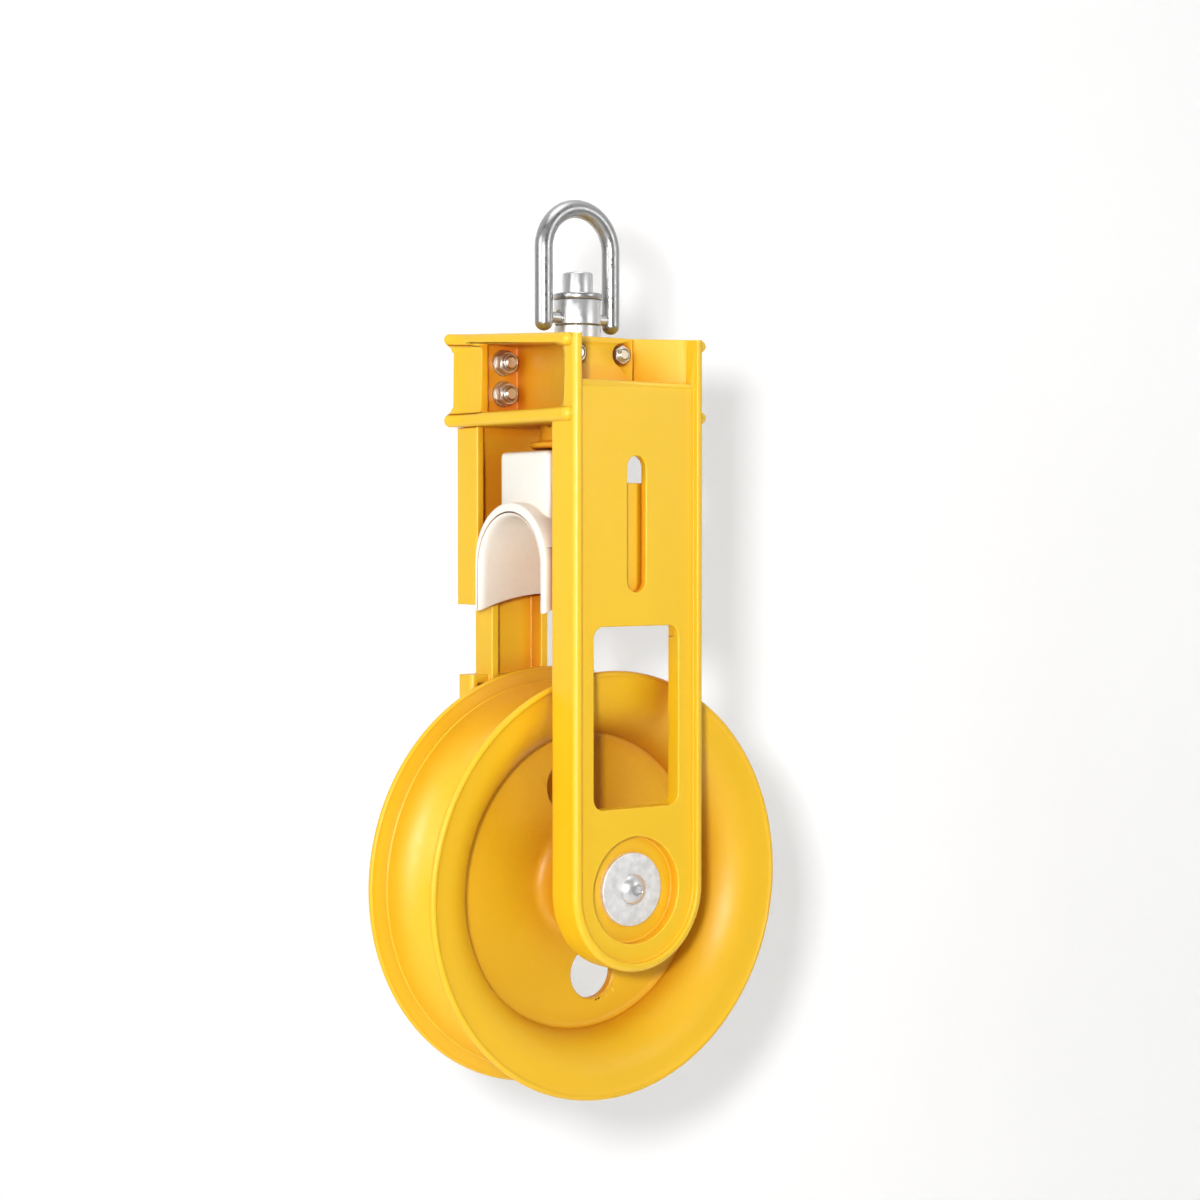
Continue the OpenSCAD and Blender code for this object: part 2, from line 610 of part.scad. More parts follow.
module main_frame() color("#f4bf1c") at_axle() difference() {
    union() {
        front_strap();
        translate([0, 0, head_z0]) linear_extrude(height = head_top_z - head_z0) head_plan();
        head_plate(head_z0, head_z0 + head_floor_t, 1);
        on_slope() head_plate(head_front_z - roof_edge_t, head_front_z, -1);
        translate([0, 0, neck_flange_z + neck_flange_t - eps])
            cylinder(h = head_z0 - neck_flange_z - neck_flange_t + 1, d1 = neck_boss_d + 2,
                d2 = neck_boss_d - 1);
        translate([0, 0, neck_flange_z]) rotate_extrude() {
            square([neck_flange_d / 2 - neck_flange_t / 2, neck_flange_t]);
            translate([neck_flange_d / 2 - neck_flange_t / 2, neck_flange_t / 2])
                circle(d = neck_flange_t, $fn = 48);
        }
    }
    slope_slab(head_front_z, head_front_z + 30);
    block([-2 * head_half_w, head_rear, 0], [2 * head_half_w, 2 * head_rear, 2 * head_top_z]);
    side_pocket();
    mirror([1, 0, 0]) side_pocket();
    front_recess();
    translate([0, 0, sill_z]) linear_extrude(height = 60) clamp_plan(seat_gap);
    // Space for the rear strap's tongue, open to the rear and below
    block([-tongue_half - part_gap, tongue_front, head_z0 - 1],
        [tongue_half + part_gap, head_rear + 1, tongue_z1 + part_gap]);
    // Sloped band from the panel's top edge to the sill
    rotate([90, 0, 90]) translate([0, sill_z - sill_fall, -strap_w / 2 + rim_t])
        linear_extrude(height = strap_w - 2 * rim_t)
            polygon([[-strap_face - 1, -1], [-strap_face + panel_in, -1], [-strap_face + panel_in, 0],
                [-strap_face + panel_in + 2.5, sill_fall + eps], [-strap_face - 1, sill_fall + eps]]);
    // Openings of the strap
    plate_y(-strap_face - 1, -strap_inner + 1)
        round_rect([-window_w / 2, window_z0], [window_w / 2, window_z1], window_r);
    plate_y(-strap_face - 1, -strap_inner + 1)
        round_rect([-slot_w / 2, slot_z0], [slot_w / 2, slot_z1], slot_w / 2 - eps);
    bar_y(0, 0, -strap_face - 1, -pocket_floor, pocket_d);
    bar_y(0, 0, -strap_face - 1, -strap_inner + 1, axle_d + 2 * seat_gap);
    // Seat of the swivel, its bolt and its nut
    translate([0, 0, swivel_seat_z]) cylinder(h = 60, d = swivel_d + 2 * seat_gap);
    translate([0, 0, neck_flange_z - 1]) cylinder(h = 40, d = swivel_bolt_d + 2 * hole_gap);
    translate([0, 0, neck_flange_z - 1])
        cylinder(h = swivel_nut_z + swivel_nut_h - neck_flange_z + 1, d = swivel_nut_af / cos(30) + 1);
    for (x = [-clamp_x, clamp_x]) bar_y(x, clamp_z, -boss_face, -stud_end, clamp_d + 2 * seat_gap);
    at_strap_bolts() bar_y(0, 0, rear_wall_y - 4, head_rear + 1, strap_bolt_d + 2 * hole_gap);
}

// The block that the two studs hold in the front recess, against the swivel's stem
module clamp_block() color("#f6c64a") at_axle() difference() {
    translate([0, 0, sill_z + seat_gap]) linear_extrude(height = 60) clamp_plan(0);
    slope_slab(head_front_z, head_front_z + 60);
    translate([0, 0, sill_z - 1]) cylinder(h = 60, d = swivel_d + 2 * seat_gap);
    for (x = [-clamp_x, clamp_x]) {
        bar_y(x, clamp_z, -boss_face - 1, -clamp_back + 1, clamp_d + 2 * hole_gap);
        bar_y(x, clamp_z, -boss_face - 1, -boss_face + clamp_sink, clamp_sink_d);
    }
}

// The channel of the rear strap: side walls, panel and outer rim
module rear_channel(x0, x1, z0, z1, front_y) {
    difference() {
        translate([0, 0, z0]) linear_extrude(height = z1 - z0)
            round_rect([x0, front_y], [x1, rear_face], 0.8);
        block([x0 + rim_t, front_y - 1, z0 - 1], [x1 - rim_t, rear_face - panel_in - panel_t, z1 + 1]);
    }
}

module rear_strap() color("#f0b614") at_axle() difference() {
    half = strap_w / 2;
    panel_back = rear_face - panel_in;
    panel_front = panel_back - panel_t;
    union() {
        // Upper part, with the lip at its lower end
        rear_channel(-half, half, rear_upper_z, head_z0 - part_gap, rear_upper_y);
        for (x = [-half, half - rim_t])
            block([x, rear_upper_y - 1, rear_upper_z], [x + rim_t, rear_upper_y + 2, rear_upper_z + 7]);
        block([-half + 1, panel_front - 5, rear_upper_z], [half - 1, panel_front + 1, rear_upper_z + 3]);
        // Tongue that is bolted inside the head
        block([-tongue_half, tongue_front + seat_gap, head_z0 - rim_t], [tongue_half, rear_face, tongue_z1]);
        translate([-tongue_half, 0, 0]) rotate([90, 0, 90]) linear_extrude(height = 2 * tongue_half)
            polygon([[panel_front, head_z0 - tongue_root], [rear_face, head_z0 - tongue_root],
                [rear_face, head_z0 - rim_t], [tongue_front + seat_gap, head_z0 - rim_t]]);
        // Neck that the rear slide runs down
        rear_channel(rear_neck_x0, rear_neck_x1, rear_cheek_z - 4, rear_upper_z + 4, rear_neck_y);
        // Cheek that carries the axle
        difference() {
            strap_body(half, rear_cheek_z, rear_cheek_y, rear_face, strap_edge_r);
            plate_y(rear_cheek_y - 1, panel_front) strap_outline(half - rim_t, rear_cheek_z - rim_t);
        }
        bar_y(0, 0, rear_pocket_floor - rim_t, panel_back, pocket_d + 2 * rim_t);
        bar_y(0, 0, strap_inner, rear_pocket_floor, axle_d + 16);
        for (turn = [30:60:330]) rotate([0, turn, 0])
            block([axle_d / 2 + 4, rear_cheek_y + 2, -1.5], [half - rim_t + 1, panel_front + 1, 1.5]);
    }
    // Recessed panel on the outside
    plate_y(panel_back, rear_face + 1) {
        strap_outline(half - rim_t, rear_cheek_z - rim_t);
        translate([-half + rim_t, rear_upper_z + rim_t])
            square([2 * (half - rim_t), head_z0 - tongue_root - rear_upper_z - 2 * rim_t]);
        translate([rear_neck_x0 + rim_t, rear_cheek_z - rim_t - 1])
            square([rear_neck_x1 - rear_neck_x0 - 2 * rim_t, rear_upper_z - rear_cheek_z + 2 * rim_t + 2]);
    }
    bar_y(0, 0, rear_pocket_floor, rear_face + 1, pocket_d);
    bar_y(0, 0, strap_inner - 1, rear_face + 1, axle_d + 2 * seat_gap);
    at_strap_bolts() bar_y(0, 0, tongue_front - 1, rear_face + 1, strap_bolt_d + 2 * hole_gap);
    // Run of the rear slide through the upper part's floor and down the neck
    block([rear_neck_x0 + rim_t, rear_upper_y - 2, rear_cheek_z + eps],
        [rear_neck_x1 - rim_t, panel_front, rear_upper_z + 8]);
}

// Section of the guide shoe: x runs along the axle and y is the height
module shoe_section() {
    difference() {
        union() {
            translate([0, shoe_out_z]) circle(r = shoe_out_r, $fn = 120);
            translate([-shoe_out_r, arch_r]) square([2 * shoe_out_r, shoe_out_z - arch_r]);
        }
        translate([0, shoe_in_z]) circle(r = shoe_in_r, $fn = 120);
        translate([-shoe_in_r, 0]) square([2 * shoe_in_r, shoe_in_z]);
    }
}

// A shape drawn in Y and Z, given the shoe's length along the cable
module along_shoe() translate([shoe_x0, 0, 0]) rotate([90, 0, 90])
    linear_extrude(height = shoe_x1 - shoe_x0) children();

module guide_shoe() color("#f7f3ea") at_axle() difference() {
    union() {
        along_shoe() shoe_section();
        intersection() {
            translate([0, 0, shoe_in_z]) linear_extrude(height = block_z1 - shoe_in_z)
                round_rect([block_x0, -block_w / 2], [block_x1, block_w / 2], block_r);
            along_shoe() difference() {
                translate([-block_w, 0]) square([2 * block_w, block_z1 + 1]);
                translate([0, shoe_in_z]) circle(r = shoe_in_r + 0.5, $fn = 120);
                translate([-shoe_in_r - 0.5, 0]) square([2 * shoe_in_r + 1, shoe_in_z]);
            }
        }
    }
    // The lower edges follow the rims of the wheel when the guide is down
    bar_y(0, guide_travel, -shoe_out_r - 1, shoe_out_r + 1, 2 * arch_r);
    for (x = front_screw_xs)
        bar_y(x, guide_screw_z, -shoe_out_r - 1, -screw_floor, guide_screw_d + 2 * seat_gap);
    for (x = rear_screw_xs)
        bar_y(x, guide_screw_z, screw_floor, shoe_out_r + 1, guide_screw_d + 2 * seat_gap);
}

// The slides that carry the shoe in the straps' channels
module guide_slide_front() color("#eeb012") at_axle() difference() {
    y1 = -shoe_out_r;
    y0 = slide_front_y;
    union() {
        block([-slide_half, y0 + 3, slide_z0], [slide_half, y1, slide_z0 + 12]);
        block([-slide_half, y0, slide_z0], [slide_half, y0 + 4, slide_z1]);
    }
    // Shallow hollow down the face that shows in the slot
    translate([slot_w, y0 - slide_scoop_r + 1.2, slide_z0 - 1])
        cylinder(h = slide_z1 - slide_z0 + 2, r = slide_scoop_r, $fn = 180);
    for (x = front_screw_xs) {
        bar_y(x, guide_screw_z, y0 - 1, y1 + 1, guide_screw_d + 2 * seat_gap);
        bar_y(x, guide_screw_z, y0 - 1, y0 + screw_sink, screw_sink_d);
    }
}

module guide_slide_rear() color("#eeb012") at_axle() difference() {
    y1 = slide_rear_y;
    block([guide_x - rear_slide_half, shoe_out_r, slide_z0], [guide_x + rear_slide_half, y1, rear_slide_z1]);
    for (x = rear_screw_xs) {
        bar_y(x, guide_screw_z, shoe_out_r - 1, y1 + 1, guide_screw_d + 2 * seat_gap);
        bar_y(x, guide_screw_z, y1 - screw_sink, y1 + 1, screw_sink_d);
    }
}

module guide_screws() color("#b4b7bb") at_axle() {
    for (x = front_screw_xs) {
        bar_y(x, guide_screw_z, slide_front_y + screw_sink - 1, -screw_floor - seat_gap, guide_screw_d);
        bar_y(x, guide_screw_z, slide_front_y + 0.4, slide_front_y + screw_sink, screw_head_d);
    }
    for (x = rear_screw_xs) {
        bar_y(x, guide_screw_z, screw_floor + seat_gap, slide_rear_y - screw_sink + 1, guide_screw_d);
        bar_y(x, guide_screw_z, slide_rear_y - screw_sink, slide_rear_y - 0.4, screw_head_d);
    }
}

// The bow: a round crown and two legs with ball ends
module eye_bow() color("#c4c7cc") at_axle() {
    translate([0, 0, bow_c]) rotate([90, 0, 0]) rotate_extrude(angle = 180)
        translate([bow_r, 0]) circle(d = bow_t, $fn = 48);
    for (x = [-bow_r, bow_r]) {
        translate([x, 0, bow_end_z]) cylinder(h = bow_c - bow_end_z, d = bow_t);
        translate([x, 0, bow_end_z]) sphere(d = bow_t);
    }
}

// A round bar along X on the pins' axis
module pin_x(x0, x1, d) translate([x0, 0, bow_pin_z]) rotate([0, 90, 0]) cylinder(h = x1 - x0, d = d);

// Pins from the bow's legs into the swivel, their outer ends shaped to the legs
module eye_pins() color("#c4c7cc") at_axle() for (s = [0, 1]) mirror([s, 0, 0]) difference() {
    pin_x(pin_in, bow_r, bow_pin_d);
    translate([bow_r, 0, bow_pin_z - bow_t]) cylinder(h = 2 * bow_t, d = bow_t + 2 * seat_gap);
}

module swivel_head() color("#b3b6ba") at_axle() difference() {
    union() {
        translate([0, 0, swivel_split_z + thrust_ring_t])
            cylinder(h = swivel_top_z - swivel_split_z - thrust_ring_t - 0.6, d = swivel_d);
        translate([0, 0, swivel_top_z - 0.6]) cylinder(h = 0.6, d1 = swivel_d, d2 = swivel_d - 1.2);
    }
    translate([0, 0, swivel_split_z]) cylinder(h = 30, d = swivel_bolt_d + 2 * run_gap);
    for (s = [0, 1]) mirror([s, 0, 0]) pin_x(pin_in - part_gap, swivel_d, bow_pin_d + 2 * run_gap);
}

module swivel_thrust_ring() color("#8d9094") at_axle() translate([0, 0, swivel_split_z + seat_gap])
    difference() {
        cylinder(h = thrust_ring_t - 4 * seat_gap, d = swivel_d - 1.6);
        translate([0, 0, -1]) cylinder(h = 3, d = swivel_bolt_d + 2 * run_gap);
    }

module swivel_washer() color("#d6d8db") at_axle() translate([0, 0, swivel_top_z + 0.06]) difference() {
    union() {
        translate([0, 0, 0.6]) cylinder(h = swivel_washer_t - 1.2, d = swivel_d + 1.2);
        cylinder(h = 0.6, d1 = swivel_d, d2 = swivel_d + 1.2);
        translate([0, 0, swivel_washer_t - 0.6]) cylinder(h = 0.6, d1 = swivel_d + 1.2, d2 = swivel_d);
    }
    translate([0, 0, -1]) cylinder(h = swivel_washer_t + 2, d = swivel_bolt_d + 2 * seat_gap);
}

module swivel_bolt() color("#aeb1b5") at_axle() difference() {
    z = swivel_top_z + 0.06 + swivel_washer_t;
    union() {
        translate([0, 0, bolt_end_z]) cylinder(h = z - bolt_end_z + eps, d = swivel_bolt_d);
        translate([0, 0, z]) cylinder(h = swivel_bolt_head_h - 0.7, d = swivel_bolt_head_d);
        translate([0, 0, z + swivel_bolt_head_h - 0.7])
            cylinder(h = 0.7, d1 = swivel_bolt_head_d, d2 = swivel_bolt_head_d - 1.4);
    }
    translate([0, 0, z + swivel_bolt_head_h - 5]) cylinder(h = 6, d = 8 / cos(30), $fn = 6);
}

module swivel_nut() color("#9da0a4") at_axle() translate([0, 0, swivel_nut_z]) difference() {
    cylinder(h = swivel_nut_h, d = swivel_nut_af / cos(30), $fn = 6);
    translate([0, 0, -1]) cylinder(h = swivel_nut_h + 2, d = swivel_bolt_d + 2 * seat_gap);
}

// The fixed half: a round stem in the head, notched at its sides for the clamp studs
module swivel_base() color("#bcbfc3") at_axle() difference() {
    translate([0, 0, swivel_seat_z]) cylinder(h = swivel_split_z - swivel_seat_z, d = swivel_d);
    for (x = [-clamp_x, clamp_x]) bar_y(x, clamp_z, -swivel_d, swivel_d, clamp_d + 2 * hole_gap);
    translate([0, 0, swivel_seat_z - 1]) cylinder(h = 60, d = swivel_bolt_d + 2 * seat_gap);
}

// Studs that thread into the head beside the stem and cross its two side notches
module clamp_studs() color("#c2c4c8") at_axle() {
    nut_end = -boss_face + clamp_sink - clamp_nut_h - clamp_collar_h;
    for (x = [-clamp_x, clamp_x]) bar_y(x, clamp_z, nut_end - stud_out, -stud_end - 0.5, clamp_d);
}

module clamp_nuts() color("#c8b98f") at_axle() for (x = [-clamp_x, clamp_x]) {
    seat_y = -boss_face + clamp_sink;
    top_y = seat_y - clamp_nut_h;
    difference() {
        union() {
            hex_y(x, clamp_z, top_y, seat_y, clamp_nut_af);
            bar_y(x, clamp_z, top_y - clamp_collar_h, top_y + eps, clamp_collar_d);
        }
        bar_y(x, clamp_z, seat_y - 2 * clamp_nut_h, seat_y + 1, clamp_d + 2 * seat_gap);
    }
}

// Runs its children at each of the four strap bolts
module at_strap_bolts() for (x = [-strap_bolt_x, strap_bolt_x], z = [strap_bolt_z0, strap_bolt_z1])
    translate([x, 0, z]) children();

module strap_bolts() color("#c2c4c8") at_axle() at_strap_bolts() {
    end_y = pocket_floor_y - strap_washer_t - strap_nut_h - strap_collar_h - strap_bolt_out;
    bar_y(0, 0, end_y, rear_face + 0.5, strap_bolt_d);
    hex_y(0, 0, rear_face, rear_face + strap_head_h, strap_hex);
}

module strap_washers() color("#caccd0") at_axle() at_strap_bolts() difference() {
    bar_y(0, 0, pocket_floor_y - strap_washer_t, pocket_floor_y, strap_washer_d);
    bar_y(0, 0, pocket_floor_y - 2 * strap_washer_t, pocket_floor_y + 1, strap_bolt_d + 2 * seat_gap);
}

module strap_nuts() color("#b7b9bd") at_axle() at_strap_bolts() {
    nut_y = pocket_floor_y - strap_washer_t;
    difference() {
        union() {
            hex_y(0, 0, nut_y - strap_nut_h, nut_y, strap_hex);
            bar_y(0, 0, nut_y - strap_nut_h - strap_collar_h, nut_y - strap_nut_h, strap_collar_d);
        }
        bar_y(0, 0, nut_y - 2 * strap_nut_h, nut_y + 1, strap_bolt_d + 2 * seat_gap);
    }
}

eye_bow();
eye_pins();
swivel_head();
swivel_washer();
swivel_bolt();
swivel_nut();
swivel_thrust_ring();
swivel_base();
clamp_block();
clamp_studs();
clamp_nuts();
main_frame();
rear_strap();
strap_bolts();
strap_washers();
strap_nuts();
axle();
axle_screw_front();
axle_screw_rear();
axle_washer_front();
axle_washer_rear();
hub_bush_front();
hub_bush_rear();
thrust_washer_front();
thrust_washer_rear();
sheave_wheel();
guide_shoe();
guide_slide_front();
guide_slide_rear();
guide_screws();
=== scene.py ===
"""Looks of the stringing sheave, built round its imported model.

Lengths are metres in the model's own frame. The origin is the inside of the
eye's crown, +Z is up along the swivel, +X runs along the cable, and +Y runs
along the axle from the front strap to the rear one.
"""

import json
import logging
import math
from collections.abc import Callable, Iterable
from dataclasses import dataclass, field
from enum import Enum

import bpy
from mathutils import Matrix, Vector

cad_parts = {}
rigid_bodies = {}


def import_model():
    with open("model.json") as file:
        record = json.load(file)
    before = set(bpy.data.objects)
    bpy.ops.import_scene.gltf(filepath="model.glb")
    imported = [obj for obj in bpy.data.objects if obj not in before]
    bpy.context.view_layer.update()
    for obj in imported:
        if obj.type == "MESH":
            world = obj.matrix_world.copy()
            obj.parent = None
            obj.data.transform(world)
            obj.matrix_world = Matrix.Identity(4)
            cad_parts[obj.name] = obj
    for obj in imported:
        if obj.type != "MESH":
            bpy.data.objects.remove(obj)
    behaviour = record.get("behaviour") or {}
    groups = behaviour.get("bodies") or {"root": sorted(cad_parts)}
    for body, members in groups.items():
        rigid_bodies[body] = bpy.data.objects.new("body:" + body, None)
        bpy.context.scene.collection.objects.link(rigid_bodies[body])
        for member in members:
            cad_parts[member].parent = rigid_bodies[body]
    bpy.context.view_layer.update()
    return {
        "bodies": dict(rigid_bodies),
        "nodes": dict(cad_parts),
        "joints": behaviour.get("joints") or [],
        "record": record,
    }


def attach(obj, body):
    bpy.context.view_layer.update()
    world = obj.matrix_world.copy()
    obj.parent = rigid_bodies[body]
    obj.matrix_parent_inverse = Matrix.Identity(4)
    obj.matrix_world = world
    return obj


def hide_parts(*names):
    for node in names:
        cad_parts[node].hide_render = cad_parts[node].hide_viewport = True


LOG = logging.getLogger("sheave")
# A millimetre, and the axle's height, in metres.
MM = 0.001
AXLE_Z = -0.3123
# The middle range of a pattern, and the range of openness, from a hollow to an open face, over which the
# painted shade in hollows fades out.
MIDDLE = (0.3, 0.7)
SHADE_FADE = (0.05, 0.66)
WHITE = (1.0, 1.0, 1.0, 1.0)
Point = tuple[float, float, float]
Flat = tuple[float, float]
Piece = bpy.types.Object
Socket = bpy.types.NodeSocket
Material = bpy.types.Material


def at(x: float, y: float, z: float) -> Point:
    """A point given in millimetres, its height measured from the axle."""
    return (x * MM, y * MM, AXLE_Z + z * MM)


class Axis(Enum):
    """A direction of the model's frame."""

    X = (1.0, 0.0, 0.0)
    Y = (0.0, 1.0, 0.0)
    Z = (0.0, 0.0, 1.0)


class Body(Enum):
    """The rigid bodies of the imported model."""

    EYE = "eye"
    SWIVEL = "swivel"
    FRAME = "frame"
    SHEAVE = "sheave"
    GUIDE = "guide"


class Slot(Enum):
    """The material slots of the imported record."""

    YELLOW = "yellow_plastic"
    WHITE = "white_plastic"
    STAINLESS = "stainless"
    POLISHED = "stainless_polished"
    ZINC = "zinc_steel"
    AXLE = "steel_axle"
    BUSHING = "dark_bushing"


class Look(Enum):
    """Finishes that a piece takes in place of its slot's own."""

    POLISHED = "polished_bar"
    FACED = "faced_washer"
    WHEEL = "wheel_moulding"


class Graph:
    """A tree of nodes, wired by name."""

    def __init__(self, tree: bpy.types.NodeTree) -> None:
        """Takes the tree to build in."""
        self.tree = tree

    def add(self, kind: str, settings: dict | None = None, **sockets: object) -> bpy.types.Node:
        """Adds a node, sets its properties and fills its sockets.

        Args:
            kind: Blender's name for the node.
            settings: Properties of the node itself.
            **sockets: Values or outputs for its inputs, underscores standing for spaces.

        Returns:
            The new node.
        """
        node = self.tree.nodes.new(kind)
        for key, value in (settings or {}).items():
            setattr(node, key, value)
        for key, value in sockets.items():
            self.feed(node, key.replace("_", " "), value)
        return node

    def feed(self, node: bpy.types.Node, socket: str | int, value: object) -> None:
        """Links an output to a socket, or sets the socket's own value.

        Args:
            node: The node whose input it is.
            socket: The input's name or number.
            value: An output socket, a number or a colour.
        """
        if isinstance(value, Socket):
            self.tree.links.new(value, node.inputs[socket])
        else:
            node.inputs[socket].default_value = value

    def combine(self, kind: str, first: Socket, second: Socket | float) -> Socket:
        """Makes one value of two.

        Args:
            kind: MAXIMUM or MULTIPLY.
            first: The first value.
            second: The second value.

        Returns:
            The value.
        """
        node = self.add("ShaderNodeMath", {"operation": kind})
        self.feed(node, 0, first)
        self.feed(node, 1, second)
        return node.outputs[0]

    def remap(self, value: Socket, start: float, end: float, low: float = 0.0, high: float = 1.0) -> Socket:
        """Maps the range from start to end to the range from low to high."""
        ranges = {"From_Min": start, "From_Max": end, "To_Min": low, "To_Max": high}
        return self.add("ShaderNodeMapRange", Value=value, **ranges).outputs[0]


class Surface(Graph):
    """The nodes of one material."""

    def __init__(self, name: str) -> None:
        """Makes an empty node material.

        Args:
            name: The material's name.
        """
        self.material = bpy.data.materials.new(name)
        self.material.use_nodes = True
        super().__init__(self.material.node_tree)
        self.tree.nodes.clear()
        self.output = self.add("ShaderNodeOutputMaterial")
        self.place = self.add("ShaderNodeTexCoord").outputs["Object"]

    def noise(self, scale: float, detail: float = 2.0, stretch: Point = (1.0, 1.0, 1.0)) -> Socket:
        """A noise pattern on the piece's own coordinates, of so many spots per metre, stretched by axis."""
        spots = self.add("ShaderNodeMapping", Vector=self.place, Scale=stretch).outputs[0]
        return self.add("ShaderNodeTexNoise", Vector=spots, Scale=scale, Detail=detail).outputs[0]

    def spread(self, value: Socket, low: float, high: float) -> Socket:
        """Maps a pattern's middle range to two values."""
        return self.remap(value, *MIDDLE, low, high)

    def tint(self, value: Socket, low: Point, high: Point) -> Socket:
        """Blends two colours by a pattern.

        Args:
            value: The pattern, from 0 to 1.
            low: The colour at 0.
            high: The colour at 1.

        Returns:
            The blended colour.
        """
        ramp = self.add("ShaderNodeValToRGB", Fac=value)
        for stop, place, colour in zip(ramp.color_ramp.elements, MIDDLE, (low, high)):
            stop.position = place
            stop.color = (*colour, 1.0)
        return ramp.outputs[0]

    def hollows(self, reach: float, painted_shade: Point, open_: Socket) -> Socket:
        """Paints shade into hollows: blends the colour by ambient occlusion towards a darker one, standing
        in for the shade and the light that the plastic throws over and over there.

        Args:
            reach: How near the walls of a hollow stand.
            painted_shade: The painted shade, the colour towards which the hollows are darkened.
            open_: The colour outside them.

        Returns:
            The blended colour.
        """
        # Painted shade: the ambient occlusion mask darkens the colour in hollows, where no lamp paints it.
        shade_mask = self.add("ShaderNodeAmbientOcclusion", {"samples": 6}, Distance=reach).outputs["AO"]
        blend = self.add("ShaderNodeMix", {"data_type": "RGBA"})
        for socket, value in ((0, self.remap(shade_mask, *SHADE_FADE)), (6, (*painted_shade, 1.0)), (7, open_)):
            self.feed(blend, socket, value)
        return blend.outputs[2]

    def bump(self, height: Socket, depth: float, strength: float, edge: float) -> Socket:
        """A bumped normal with rounded edges.

        Args:
            height: The pattern of the bumps.
            depth: The height of the bumps.
            strength: The share of the bumps that shows.
            edge: The radius at sharp edges, or 0 for none.

        Returns:
            The normal.
        """
        node = self.add("ShaderNodeBump", Height=height, Distance=depth, Strength=strength)
        if edge > 0:
            self.feed(node, "Normal", self.add("ShaderNodeBevel", {"samples": 4}, Radius=edge).outputs[0])
        return node.outputs[0]

    def finish(self, shader: bpy.types.Node) -> Material:
        """Puts the shader on the surface and gives the finished material."""
        self.feed(self.output, "Surface", shader.outputs[0])
        return self.material


@dataclass(frozen=True)
class MouldedPlastic:
    """Plastic from a steel mould, with a fine grain, faint flow marks and painted shade in its hollows.

    Attributes:
        name: The material's name.
        body: The colour of the plastic.
        flow: The colour where it flowed last.
        painted_shade: The painted shade colour in its hollows, standing in for shade and bounced light.
        reach: How near the walls of such a hollow stand, for that painted shade.
        gloss: The roughness of the surface.
        shine: The strength of its gloss.
        grain: The strength of the mould's grain.
        edge: The radius at sharp edges.
    """

    name: str
    body: Point
    flow: Point
    painted_shade: Point
    reach: float = 0.04
    gloss: float = 0.42
    shine: float = 0.5
    grain: float = 0.12
    edge: float = 0.0

    def material(self) -> Material:
        """Builds the plastic.

        Returns:
            The material.
        """
        graph = Surface(self.name)
        flow = graph.noise(22.0, 3.0, (1.0, 1.0, 0.45))
        fine = graph.noise(2600.0, 2.0)
        # The base colour carries painted shade in hollows over the flow marks.
        shader = graph.add(
            "ShaderNodeBsdfPrincipled",
            Base_Color=graph.hollows(self.reach, self.painted_shade, graph.tint(flow, self.body, self.flow)),
            Roughness=graph.spread(graph.noise(140.0, 3.0), self.gloss - 0.04, self.gloss + 0.05),
            Specular_IOR_Level=self.shine,
            Normal=graph.bump(fine, 0.00008, self.grain, self.edge),
        )
        return graph.finish(shader)


@dataclass(frozen=True)
class WorkedSteel:
    """Steel with fine marks of its making.

    Attributes:
        name: The material's name.
        bright: The colour of the polished places.
        dull: The colour of the dull places.
        gloss: The roughness of the surface.
        marks: The strength of the fine marks.
        run: How the marks are stretched along each axis.
        edge: The radius at sharp edges.
    """

    name: str
    bright: Point
    dull: Point
    gloss: float = 0.26
    marks: float = 0.15
    run: Point = (1.0, 1.0, 1.0)
    edge: float = 0.0

    def material(self) -> Material:
        """Builds the steel.

        Returns:
            The material.
        """
        graph = Surface(self.name)
        shader = graph.add(
            "ShaderNodeBsdfPrincipled",
            Base_Color=graph.tint(graph.noise(160.0, 4.0), self.dull, self.bright),
            Metallic=1.0,
            Roughness=graph.spread(graph.noise(420.0, 3.0, self.run), self.gloss - 0.05, self.gloss + 0.08),
            Normal=graph.bump(graph.noise(900.0, 3.0, self.run), 0.00005, self.marks, self.edge),
        )
        return graph.finish(shader)


@dataclass(frozen=True)
class TurnedSteel:
    """Steel faced on a lathe, with rings about the axle.

    Attributes:
        name: The material's name.
        bright: The colour of the metal.
        gloss: The roughness of the surface.
    """

    name: str
    bright: Point
    gloss: float = 0.3

    def material(self) -> Material:
        """Builds the turned steel.

        Returns:
            The material.
        """
        graph = Surface(self.name)
        centred = graph.add("ShaderNodeMapping", Vector=graph.place)
        centred.inputs["Location"].default_value = (0.0, 0.0, -AXLE_Z)
        rings = graph.add(
            "ShaderNodeTexWave",
            {"wave_type": "RINGS", "rings_direction": "Y"},
            Vector=centred.outputs[0],
            Scale=420.0,
            Distortion=0.6,
            Detail=2.0,
        ).outputs["Fac"]
        dull = tuple(0.82 * part for part in self.bright)
        shader = graph.add(
            "ShaderNodeBsdfPrincipled",
            Base_Color=graph.tint(graph.noise(300.0, 3.0), dull, self.bright),
            Metallic=1.0,
            Roughness=graph.spread(rings, self.gloss - 0.04, self.gloss + 0.06),
            Normal=graph.bump(rings, 0.00003, 0.25, 0.0),
        )
        return graph.finish(shader)


